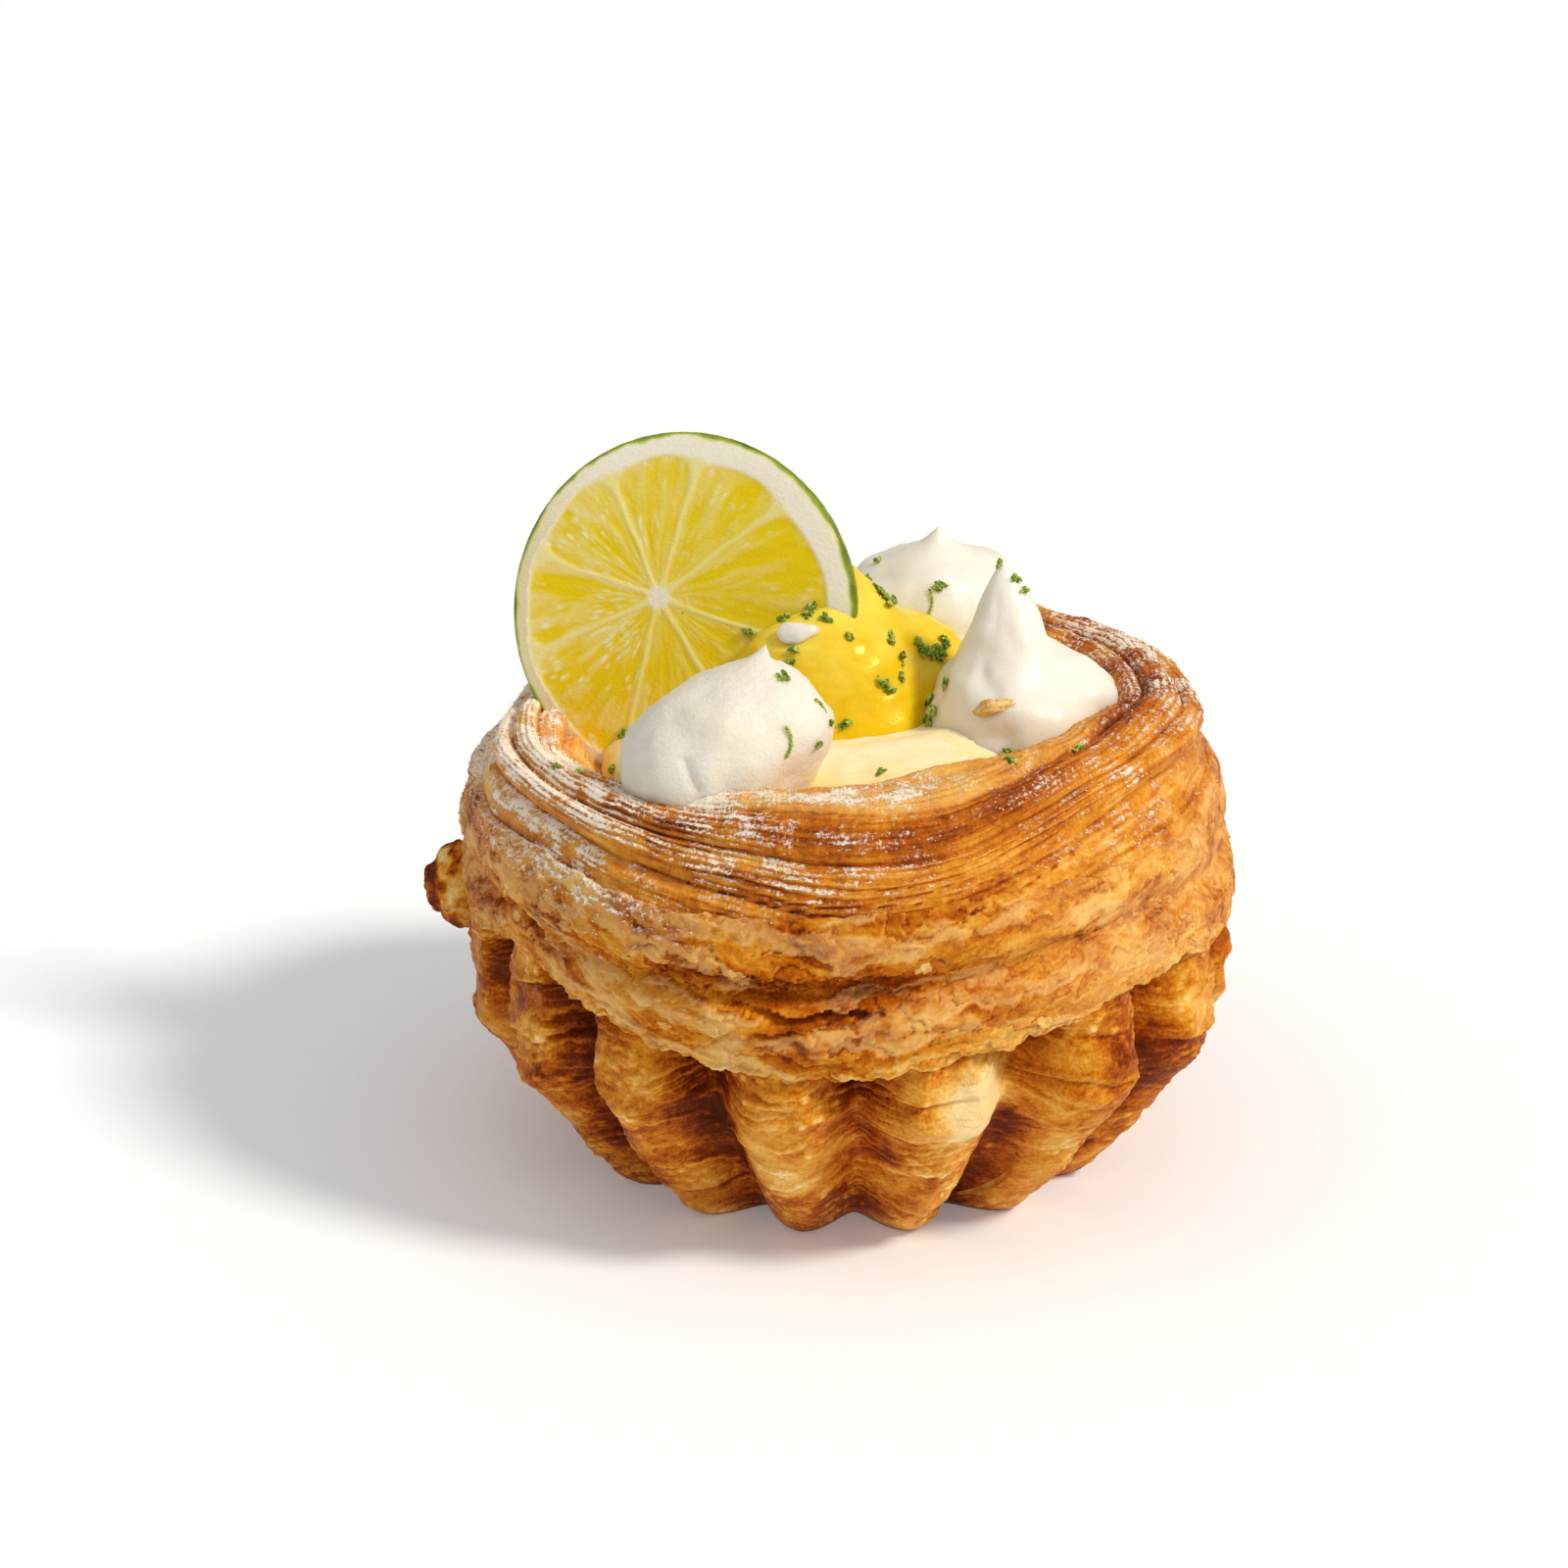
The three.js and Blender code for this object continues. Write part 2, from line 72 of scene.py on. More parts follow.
def scramble(cell, seed):
    x, y, z = (cell[..., i].astype(np.uint32) for i in range(3))
    mixed = x * np.uint32(73856093) ^ y * np.uint32(19349663) ^ z * np.uint32(83492791)
    mixed = mixed ^ np.uint32((seed * 2654435761 + 97) % 4294967296)
    for factor in (2246822519, 3266489917):
        mixed = (mixed ^ (mixed >> np.uint32(15))) * np.uint32(factor)
    return mixed ^ (mixed >> np.uint32(16))


def fraction(cell, seed):
    return scramble(cell, seed) / 4294967296


def grainNoise(points, seed):
    cell = np.floor(points).astype(np.int64)
    within = points - cell
    ease = within ** 3 * (within * (within * 6 - 15) + 10)
    total = np.zeros(points.shape[:-1])
    for corner in np.ndindex(2, 2, 2):
        slope = slopes[scramble(cell + corner, seed) % len(slopes)]
        rise = ((within - corner) * slope).sum(-1)
        total += rise * np.where(corner, ease, 1 - ease).prod(-1)
    return total


def layeredNoise(points, octaves=4, seed=0):
    total = np.zeros(points.shape[:-1])
    for i in range(octaves):
        total += grainNoise(points * 2 ** i + 17.3 * i, seed + i) * 0.5 ** i
    return total


# slow along a layer, and free from one layer to the next
def levelNoise(place, wide, level, octaves, seed):
    return layeredNoise(np.stack([place[..., 0] / wide, place[..., 1] / wide, level], -1), octaves, seed)


def cellNoise(points, seed):  # distance to the nearest and second seed, and the nearest one's own number
    cell = np.floor(points).astype(np.int64)
    nearest = np.full(points.shape[:-1], 9.0)
    second = nearest.copy()
    owner = np.zeros(points.shape[:-1])
    for step in np.ndindex(3, 3, 3):
        other = cell + np.array(step) - 1
        seedPoint = other + np.stack([fraction(other, seed + k) for k in range(3)], -1)
        away = np.linalg.norm(seedPoint - points, axis=-1)
        closer = away < nearest
        second = np.where(closer, nearest, np.minimum(second, away))
        owner = np.where(closer, fraction(other, seed + 5), owner)
        nearest = np.where(closer, away, nearest)
    return nearest, second, owner


def shingles(level, tilt=0.75, edge=0.12):  # stepped plates whose edges stand up, from a smooth level
    course = np.floor(level)
    within = level - course
    return course * (1 - tilt) + smooth(within, 0, edge) - tilt * within, course, within


def splineRows(points, count):  # a smooth line through points, sampled evenly between them
    spots = np.linspace(0, len(points) - 1, count)
    first = np.minimum(spots.astype(int), len(points) - 2)
    share = (spots - first).reshape((-1,) + (1,) * (points.ndim - 1))
    a, b = points[np.maximum(first - 1, 0)], points[first]
    c, d = points[first + 1], points[np.minimum(first + 2, len(points) - 1)]
    into, out = (c - a) / 2, (d - b) / 2
    cubic = 2 * b - 2 * c + into + out
    return cubic * share ** 3 + (3 * c - 3 * b - 2 * into - out) * share ** 2 + into * share + b


def evenTurns(count):
    return np.arange(count) / count * fullTurn


def polar(radius, turn, height):  # points by their distance from the upright axis, turn and height
    return np.stack([radius * np.cos(turn), radius * np.sin(turn), height], -1)


def spinAbout(turn):  # a turn about the upright axis
    return np.array([[math.cos(turn), -math.sin(turn), 0], [math.sin(turn), math.cos(turn), 0], [0, 0, 1]])


def frontLoadedTurns(count, pull=0.4):  # columns lie closer together at the front
    even = evenTurns(count) - math.pi
    return even - pull * np.sin(even + math.pi / 2)


# Mesh helpers
def ringFaces(rows, columns, bottomPole=False, topPole=False):
    index = np.arange(rows * columns).reshape(rows, columns)
    right = np.roll(index, -1, axis=1)
    faces = np.stack([index[:-1], right[:-1], right[1:], index[1:]], -1).reshape(-1, 4).tolist()
    pole = rows * columns
    if bottomPole:
        faces += np.stack([np.full(columns, pole), right[0], index[0]], -1).tolist()
        pole += 1
    if topPole:
        faces += np.stack([index[-1], right[-1], np.full(columns, pole)], -1).tolist()
    return faces


def ringNormals(points):  # outward normals of a closed grid of rings
    around = np.roll(points, -1, axis=1) - np.roll(points, 1, axis=1)
    up = np.gradient(points, axis=0)
    normal = np.cross(around, up)
    return normal / np.maximum(np.linalg.norm(normal, axis=-1, keepdims=True), 1e-9)


def addPiece(name, points, faces, finish, nodes=(), masks=None):
    mesh = bpy.data.meshes.new(name)
    mesh.from_pydata((points.reshape(-1, 3) * 0.001).tolist(), [], faces)
    mesh.shade_smooth()
    for label, values in (masks or {}).items():
        layer = mesh.attributes.new(label, "FLOAT", "POINT")
        layer.data.foreach_set("value", np.ascontiguousarray(values, dtype=np.float32).ravel())
    mesh.materials.append(finish)
    piece = bpy.data.objects.new(name, mesh)
    bpy.context.scene.collection.objects.link(piece)
    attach(piece, "root")
    if nodes:
        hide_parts(*nodes)
    print("piece", name, sum(len(face) - 2 for face in faces), "triangles")
    return piece


# Colour helpers: sRGB 0..255 to the scene's linear values
def shade(red, green, blue):
    def linear(value):
        value = value / 255
        return value / 12.92 if value <= 0.04045 else ((value + 0.055) / 1.055) ** 2.4
    return (linear(red), linear(green), linear(blue), 1.0)


def put(tree, kind, links=None, **settings):
    node = tree.nodes.new(kind)
    for name, value in settings.items():
        setattr(node, name, value)
    for name, value in (links or {}).items():
        if isinstance(value, bpy.types.NodeSocket):
            tree.links.new(value, node.inputs[name])
        else:
            node.inputs[name].default_value = value
    return node


def math2(tree, operation, a, b, clamp=False):
    return put(tree, "ShaderNodeMath", {0: a, 1: b}, operation=operation, use_clamp=clamp).outputs[0]


def plus(tree, a, b, clamp=False):
    return math2(tree, "ADD", a, b, clamp)


def minus(tree, a, b, clamp=False):
    return math2(tree, "SUBTRACT", a, b, clamp)


def times(tree, a, b, clamp=False):
    return math2(tree, "MULTIPLY", a, b, clamp)


def ramp(tree, value, stops):
    node = put(tree, "ShaderNodeValToRGB", {"Fac": value})
    marks = node.color_ramp.elements
    while len(marks) < len(stops):
        marks.new(0.5)
    for mark, (place, colour) in zip(marks, stops):
        mark.position = place
        mark.color = colour
    return node.outputs["Color"]


def blendColours(tree, share, first, second):
    return put(tree, "ShaderNodeMix", {0: share, 6: first, 7: second}, data_type="RGBA").outputs[2]


def noiseAt(tree, vector, scale, detail=4.0, roughness=0.55):
    links = {"Vector": vector, "Scale": scale, "Detail": detail, "Roughness": roughness}
    return put(tree, "ShaderNodeTexNoise", links).outputs["Fac"]


def millimetres(tree):  # object coordinates as millimetres
    place = put(tree, "ShaderNodeTexCoord").outputs["Object"]
    return put(tree, "ShaderNodeVectorMath", {0: place, 3: 1000.0}, operation="SCALE").outputs[0]


def newGroup(name, inputs):  # every group puts out a colour, a roughness and a height
    group = bpy.data.node_groups.new(name, "ShaderNodeTree")
    for side, labels in (("INPUT", inputs), ("OUTPUT", ("Color", "Roughness", "Height"))):
        for label in labels:
            kind = "NodeSocketColor" if label in ("Color", "Light", "Deep") else "NodeSocketFloat"
            group.interface.new_socket(label, in_out=side, socket_type=kind)
    return group, put(group, "NodeGroupInput").outputs


def endGroup(group, colour, rough, height):
    put(group, "NodeGroupOutput", {"Color": colour, "Roughness": rough, "Height": height})
    return group


def newFinish(name):
    finish = bpy.data.materials.new(name)
    finish.use_nodes = True
    finish.node_tree.nodes.clear()
    return finish, finish.node_tree


def useGroup(tree, group, links):
    return put(tree, "ShaderNodeGroup", links, node_tree=group).outputs


def mask(tree, label):
    return put(tree, "ShaderNodeAttribute", attribute_name=label).outputs["Fac"]


def surface(tree, links):
    shader = put(tree, "ShaderNodeBsdfPrincipled", links)
    output = put(tree, "ShaderNodeOutputMaterial")
    tree.links.new(shader.outputs["BSDF"], output.inputs["Surface"])


def bumped(tree, height, distance):
    links = {"Height": height, "Distance": distance, "Strength": 1.0}
    return put(tree, "ShaderNodeBump", links).outputs["Normal"]


# Baked dough: pale to burnt tones by how far it baked, with painted shade added in slits, cracks, creases and
# under sheet edges, streaked along its layers
crustTones = dict(
    stops=((0.0, (255, 228, 168)), (0.2, (240, 190, 96)), (0.42, (221, 146, 37)), (0.62, (185, 95, 12)),
           (0.8, (130, 50, 4)), (1.0, (80, 24, 1))),
    film=(236, 196, 132), filmShare=0.5, patchSize=8.0, mottleSize=1.7, gritSize=0.5, streakStretch=0.12,
    patches=0.18, mottle=0.2, grit=0.2, filmDriesBelow=1.25, rough=(0.36, 0.34), heights=(0.6, 0.7, 0.5),
)


def makeCrustTone():
    tones = crustTones
    group, given = newGroup("crustTone", ("Bake", "Layer", "Streaks", "Film", "Grain"))
    place = millimetres(group)
    axes = put(group, "ShaderNodeSeparateXYZ", {0: place}).outputs
    along = put(group, "ShaderNodeCombineXYZ", {
        0: times(group, axes[0], tones["streakStretch"]), 1: times(group, axes[1], tones["streakStretch"]),
        2: given["Layer"]}).outputs[0]
    patches = noiseAt(group, place, 1 / tones["patchSize"], 3.0)
    mottle = noiseAt(group, place, 1 / tones["mottleSize"], 5.0, 0.6)
    grit = noiseAt(group, place, 1 / tones["gritSize"], 3.0, 0.6)
    streaks = noiseAt(group, along, 1.0, 2.5, 0.5)
    bake = given["Bake"]
    grain = times(group, given["Grain"], tones["grit"] * 2)
    for field, strength in ((patches, tones["patches"] * 2), (mottle, tones["mottle"] * 2), (grit, grain),
                            (streaks, given["Streaks"])):
        swing = times(group, minus(group, field, 0.5), strength)
        bake = plus(group, bake, swing)
    colour = ramp(group, bake, [(place, shade(*tone)) for place, tone in tones["stops"]])
    # a dry pale film lies over the amber where the outer sheet is whole
    dry = times(group, given["Film"], minus(group, tones["filmDriesBelow"], bake, True))
    dry = times(group, dry, times(group, mottle, tones["filmShare"] * 2), True)
    colour = blendColours(group, dry, colour, shade(*tones["film"]))
    rough = plus(group, tones["rough"][0], times(group, mottle, tones["rough"][1]))
    ofMottle, ofStreaks, ofGrit = tones["heights"]
    height = plus(group, times(group, mottle, ofMottle), times(group, streaks, ofStreaks))
    height = plus(group, height, times(group, grit, times(group, given["Grain"], ofGrit)))
    return endGroup(group, colour, rough, height)


# Icing sugar lying on a surface: clumps and single grains by how much fell there
sugarDust = dict(colour=(255, 246, 232), clumpSize=1.3, grainSize=0.45, speckle=2.9, bareBelow=-0.14,
                 fullAbove=0.24, densest=0.93, rougher=0.4)


def makeSugarDust():
    dust = sugarDust
    group, given = newGroup("sugarDust", ("Amount", "Color", "Roughness", "Height"))
    place = millimetres(group)
    clumps = noiseAt(group, place, 1 / dust["clumpSize"], 4.0, 0.65)
    grains = noiseAt(group, place, 1 / dust["grainSize"], 2.0, 0.6)
    field = plus(group, times(group, clumps, 0.5), times(group, grains, 0.5))
    swing = times(group, minus(group, field, 0.5), dust["speckle"])
    fallen = plus(group, swing, minus(group, given["Amount"], 0.5))
    cover = put(group, "ShaderNodeMapRange", {0: fallen, 1: dust["bareBelow"], 2: dust["fullAbove"]},
                clamp=True).outputs[0]
    some = times(group, cover, times(group, given["Amount"], 6.0, True))
    colour = blendColours(group, times(group, some, dust["densest"]), given["Color"],
                          shade(*dust["colour"]))
    rough = plus(group, given["Roughness"], times(group, some, dust["rougher"]), True)
    pile = times(group, some, plus(group, times(group, grains, 0.6), 0.2))
    return endGroup(group, colour, rough, plus(group, given["Height"], pile))


# Soft mottle of creams: slow patches of tone with a fine grain
def makeCreamMottle():
    group, given = newGroup("creamMottle", ("Light", "Deep", "Depth", "Patch Size", "Grain Size"))
    place = millimetres(group)
    patches = noiseAt(group, place, math2(group, "DIVIDE", 1.0, given["Patch Size"]), 3.0)
    grain = noiseAt(group, place, math2(group, "DIVIDE", 1.0, given["Grain Size"]), 4.0, 0.6)
    wander = plus(group, times(group, patches, 0.8), times(group, grain, 0.35))
    share = plus(group, given["Depth"], minus(group, wander, 0.575), True)
    colour = blendColours(group, share, given["Light"], given["Deep"])
    return endGroup(group, colour, plus(group, 0.3, times(group, grain, 0.4)), grain)


crustTone = makeCrustTone()
dustGroup = makeSugarDust()
creamMottle = makeCreamMottle()


def softTone(tree, tones, patchSize, grainSize):
    return useGroup(tree, creamMottle, {
        "Light": shade(*tones["light"]), "Deep": shade(*tones["deep"]), "Depth": mask(tree, "depth"),
        "Patch Size": patchSize, "Grain Size": grainSize})


def makeCrustFinish(name, bumpDepth, gloss, streaks, grain):
    finish, tree = newFinish(name)
    tone = useGroup(tree, crustTone, {"Bake": mask(tree, "bake"), "Layer": mask(tree, "layer"),
                                      "Streaks": streaks, "Film": mask(tree, "film"), "Grain": grain})
    dusted = useGroup(tree, dustGroup, {"Amount": mask(tree, "sugar"), "Color": tone["Color"],
                                        "Roughness": tone["Roughness"], "Height": tone["Height"]})
    surface(tree, {"Base Color": dusted["Color"], "Roughness": dusted["Roughness"],
                   "Normal": bumped(tree, dusted["Height"], bumpDepth), "Specular IOR Level": 0.13,
                   "Specular Tint": shade(255, 176, 80), "Subsurface Weight": 0.06,
                   "Subsurface Radius": (1.0, 0.45, 0.18), "Subsurface Scale": 0.0012, "Coat Weight": gloss,
                   "Coat Roughness": 0.24, "Coat Tint": shade(255, 226, 176)})
    return finish


collarFinish = makeCrustFinish("flakyCrust", 0.00022, 0.015, 0.36, 1.0)
cupFinish = makeCrustFinish("butteredCrust", 0.0003, 0.05, 0.16, 1.3)
print("crust finishes made")


# Fluted cup and coiled collar: the form of the crust
cupForm = dict(flutes=15, firstCrest=-76, drift=3, driftFrom=-112, baseRadius=35.4, topRadius=54.6,
               fullHeight=24.5, bulge=0.9, depthAtBase=6.5, depthAtTop=7.6, crestPowerAtBase=0.8,
               crestPowerAtTop=0.45, valleyRound=0.03, leanIn=0.12, footRound=1.0, tuck=2.5, overhang=0.5)
collarForm = dict(lipHeight=36.2, lipWaves=((-98, 32, -5), (-42, 17, 3.2), (-145, 14, 2.2)),
                  bellyRadius=54.4, rimRadius=41.3, rimHeight=64.5, rimTilt=2.8, highSide=18,
                  mouthRadius=31, mouthHeight=61.5)
slimSides = ((-4, 42, 0, 2.6), (178, 38, 2, 0))  # turn, spread, how far in low down and high up
openSide = dict(middle=180, spread=60, rimOut=2.4, mouthOut=4.6, mouthDrop=6.2)
frontRoll = dict(middle=-70, spread=38, rimIn=3.8, rise=2.7)
rollForm = dict(first=0.45, pitch=0.12, end=0.97, depth=1.2, width=0.2, level=0.1, sag=0.115, sagAt=-78,
                sagSpread=40)
foldForm = dict(depth=1.7, width=0.045)
wellForm = dict(floorHeight=43, wallRadius=29.6, wallHeight=51.5)


def unevenness(turn, along):
    return (0.5 * np.sin(2 * turn + 3.7) + 0.6 * np.sin(3 * turn - 1.1 + 4 * along)
            + 0.45 * np.sin(5 * turn - 1.2 + 7 * along) + 0.3 * np.sin(9 * turn + 3 + 11 * along))


def fluteWave(turn, share):  # 1 on a flute's crest and 0 in a valley
    drift = math.radians(cupForm["drift"])
    drifted = turn - drift * (1 - np.cos(turn - math.radians(cupForm["driftFrom"])))
    wave = (1 + np.cos(cupForm["flutes"] * (drifted - math.radians(cupForm["firstCrest"])))) / 2
    power = lerp(cupForm["crestPowerAtBase"], cupForm["crestPowerAtTop"], share)
    low = cupForm["valleyRound"]
    return ((wave + low) ** power - low ** power) / ((1 + low) ** power - low ** power)


def fluteRadius(turn, height):
    share = np.clip(height / cupForm["fullHeight"], 0, 1)
    crest = lerp(cupForm["baseRadius"], cupForm["topRadius"], share ** cupForm["bulge"])
    crest = crest - cupForm["leanIn"] * np.maximum(0, height - cupForm["fullHeight"])
    crest = crest + 0.5 * unevenness(turn, 0) * share
    return crest - lerp(cupForm["depthAtBase"], cupForm["depthAtTop"], share) * (1 - fluteWave(turn, share))


def opening(turn):
    return sideShare(turn, openSide["middle"], openSide["spread"])


def mouthAt(turn):
    return (collarForm["mouthRadius"] + opening(turn) * openSide["mouthOut"],
            collarForm["mouthHeight"] - opening(turn) * openSide["mouthDrop"])


def wellStretch(turn):
    return mouthAt(turn)[0] / collarForm["mouthRadius"]


def collarSection(turn):
    front = sideShare(turn, frontRoll["middle"], frontRoll["spread"])
    waves = sum(rise * sideShare(turn, *side) for *side, rise in collarForm["lipWaves"])
    lip = collarForm["lipHeight"] + waves
    tilt = np.cos(turn - math.radians(collarForm["highSide"]))
    rim = collarForm["rimHeight"] + collarForm["rimTilt"] * tilt + front * frontRoll["rise"]
    rimRadius = collarForm["rimRadius"] + opening(turn) * openSide["rimOut"] - front * frontRoll["rimIn"]
    belly = np.full_like(turn, collarForm["bellyRadius"])
    low = sum(inward * sideShare(turn, middle, spread) for middle, spread, inward, _ in slimSides)
    high = sum(inward * sideShare(turn, middle, spread) for middle, spread, _, inward in slimSides)
    mouth = mouthAt(turn)
    points = ((belly - low - 1, lip), (belly - low - 0.3, lip + 3.5),
              (belly - lerp(low, high, 0.4), lip + 8.5), (belly - high - 1.7, lerp(lip, rim, 0.52)),
              (lerp(belly, rimRadius, 0.34) - 1.2 * high, rim - 8.5),
              (lerp(rimRadius, belly, 0.43), rim - 2.3), (rimRadius, rim),
              (lerp(rimRadius, mouth[0], 0.45), lerp(rim, mouth[1], 0.25)), mouth)
    return np.array([np.stack(point, -1) for point in points])


def rollSag(turn):
    return rollForm["level"] - rollForm["sag"] * sideShare(turn, rollForm["sagAt"], rollForm["sagSpread"])


def rollPlace(turn, along):  # how many rolls up a place lies; the rolls sag at the front
    return (along - rollSag(turn) - rollForm["first"]) / rollForm["pitch"]


def collarRelief(turn, along):
    roll = rollPlace(turn, along)
    offGroove = roll - np.round(roll)
    onTop = smooth(along, rollForm["first"] - 0.05, rollForm["first"] + 0.08)
    onTop = onTop * (1 - smooth(along, rollForm["end"] - 0.06, rollForm["end"]))
    frontFold = along - 0.2 - 0.03 * np.sin(3 * turn + 0.4)
    rightFold = along - 0.215 + 0.03 * np.sin(turn + 0.9)
    folds = dip(frontFold, foldForm["width"]) * smooth(np.cos(turn + 1.9), -0.2, 0.8)
    folds = folds + dip(rightFold, foldForm["width"]) * smooth(np.cos(turn + 0.5), 0, 0.8)
    grooves = rollForm["depth"] * onTop * dip(offGroove, rollForm["width"])
    return unevenness(turn, along) - grooves - foldForm["depth"] * folds


class Skin:  # a grid of points on the collar, with the way out of it and its unrolled coordinates
    def __init__(self, turns, along):
        fine = splineRows(collarSection(turns), 320)
        steps = np.linalg.norm(np.diff(fine, axis=0), axis=2)
        run = np.vstack([np.zeros(len(turns)), np.cumsum(steps, axis=0)])
        way = np.gradient(fine, axis=0)
        way /= np.linalg.norm(way, axis=2, keepdims=True)
        self.turn = np.broadcast_to(turns, along.shape)
        self.along = along
        self.arc = along * run[-1]

        def follow(values):
            columns = zip(self.arc.T, run.T, values.T)
            return np.stack([np.interp(arc, known, value) for arc, known, value in columns], axis=1)
        self.radius, self.height = follow(fine[..., 0]), follow(fine[..., 1])
        self.outward, self.upward = follow(way[..., 1]), -follow(way[..., 0])
        self.push(collarRelief(self.turn, along) * smooth(1 - along, 0, 0.12))
        wide = collarForm["bellyRadius"]
        self.unrolled = polar(wide, self.turn, self.arc)

    def push(self, distance):
        self.radius = self.radius + self.outward * distance
        self.height = self.height + self.upward * distance

    def points(self):
        return polar(self.radius, self.turn, self.height)


# Torn folds across the collar's side: a loose sheet above a deep slit with painted shade in it,
# by turn in degrees and share of the way up
tears = [
    dict(path=((-126, 0.21), (-114, 0.28), (-104, 0.275), (-90, 0.268), (-80, 0.25)),
         depth=2.2, width=1.3, lift=0.8),
    dict(path=((-104, 0.2), (-94, 0.185), (-84, 0.19)), depth=2.6, width=1.7, lift=0.7),
    dict(path=((-116, 0.12), (-104, 0.125), (-93, 0.15)), depth=1.0, width=0.8, lift=0.5),
    dict(path=((-76, 0.25), (-60, 0.242), (-42, 0.2)), depth=0.4, width=0.8, lift=0.5),
    dict(path=((-156, 0.225), (-143, 0.175), (-131, 0.155)), depth=1.3, width=1.0, lift=0.5),
]
tearRule = dict(count=13, fromTurn=16, toTurn=200, low=0.1, high=0.38, spanTurn=(14, 34), slope=0.05,
                depth=(0.8, 2.0), width=(0.7, 1.3), lift=(0.4, 0.7), seed=11)


def strewnTears():
    rule = tearRule
    draw = np.random.default_rng(rule["seed"])
    made = []
    for i in range(rule["count"]):
        middle = lerp(rule["fromTurn"], rule["toTurn"], (i + draw.random()) / rule["count"])
        half = draw.uniform(*rule["spanTurn"]) / 2
        level = draw.uniform(rule["low"], rule["high"])
        fall, bow = draw.uniform(-rule["slope"], rule["slope"], 2)
        path = ((middle - half, level - fall), (middle, level + bow * 0.5), (middle + half, level + fall))
        made.append(dict(path=path, depth=draw.uniform(*rule["depth"]), width=draw.uniform(*rule["width"]),
                         lift=draw.uniform(*rule["lift"])))
    return made


def tearRelief(skin, wobble):  # how far the tears push the skin, and how much painted shade darkens their slits
    push = np.zeros_like(skin.arc)
    dark = np.zeros_like(skin.arc)
    length = skin.arc[-1] / skin.along[-1]
    for tear in tears + strewnTears():
        turns = np.radians([spot[0] for spot in tear["path"]])
        middle = (turns[0] + turns[-1]) / 2
        offset = apart(skin.turn, middle)
        level = np.interp(offset, turns - middle, [spot[1] for spot in tear["path"]]) * length
        half = (turns[-1] - turns[0]) / 2
        present = 1 - smooth(np.abs(offset), half * 0.4, half * 1.1)
        above = skin.arc - level - wobble
        slit = np.where(above < 0, np.exp(above / tear["width"]), np.exp(-above / 0.25))
        sheet = np.where(above >= 0, np.exp(-above / 2.6), 0)
        push += present * (tear["lift"] * sheet - tear["depth"] * np.where(above < 0, slit, 0))
        shadow = present * np.where(above < 0, slit, 0.3 * slit)
        dark = np.maximum(dark, shadow * min(1, tear["depth"] / 1.2))
    return push, dark


# Side of the collar: thin baked sheets in ragged plates, with a crumbling lower lip
sideSheet = dict(
    columns=880, rows=92, topEdge=0.4, topWave=0.015, frontLift=0.045, rightDrop=0.04, overlap=0.05,
    plateWidth=17.0, plateHeight=6.5, courses=8.0, plateSteps=2.2, plateRise=0.34, filmRise=0.17,
    blisterSize=2.6, blister=0.1, grit=0.06, lines=0.2, crackDepth=0.4, standOff=0.55, edgeDrop=2.6,
    thinning=0.5, seed=3,
    smoothSide=(-14, 44),  # turn and spread of the side whose sheets lie flat
    under=((9.0, 3.2), (4.0, 0.9), (1.5, -0.1), (0.5, -0.25)),  # how far in and up it runs under the lip
    bake=dict(
        whole=0.55, courses=0.13, patches=0.18, plateTop=-0.13, plateFootShade=0.14, crackShade=0.2, tears=0.22,
        film=-0.08, lines=0.14, lip=-0.17, underside=0.7,
        # turn and spread, and how much darker; the paler left front at -130 is painted light
        sides=((180, 40, 0.04), (-130, 32, -0.06), (4, 20, 0.1), (-62, 14, -0.08)),
        # turn and spread, from and to what share of the way up, and how much darker
        rising=((-20, 50, 0.0, 0.3, -0.11), (-88, 20, 0.16, 0.24, 0.11)),
        # turn and spread, share of the way up and reach, and how much darker
        paleBand=(-95, 34, 0.1, 0.05, -0.06),
    ),
)


def topEdgeAt(turn):
    waves = np.sin(2 * turn + 0.6) + 0.6 * np.sin(5 * turn + 2.0)
    lift = sideSheet["frontLift"] * sideShare(turn, -95, 40)
    drop = sideSheet["rightDrop"] * sideShare(turn, -40, 24)
    return sideSheet["topEdge"] + sideSheet["topWave"] * waves + lift - drop


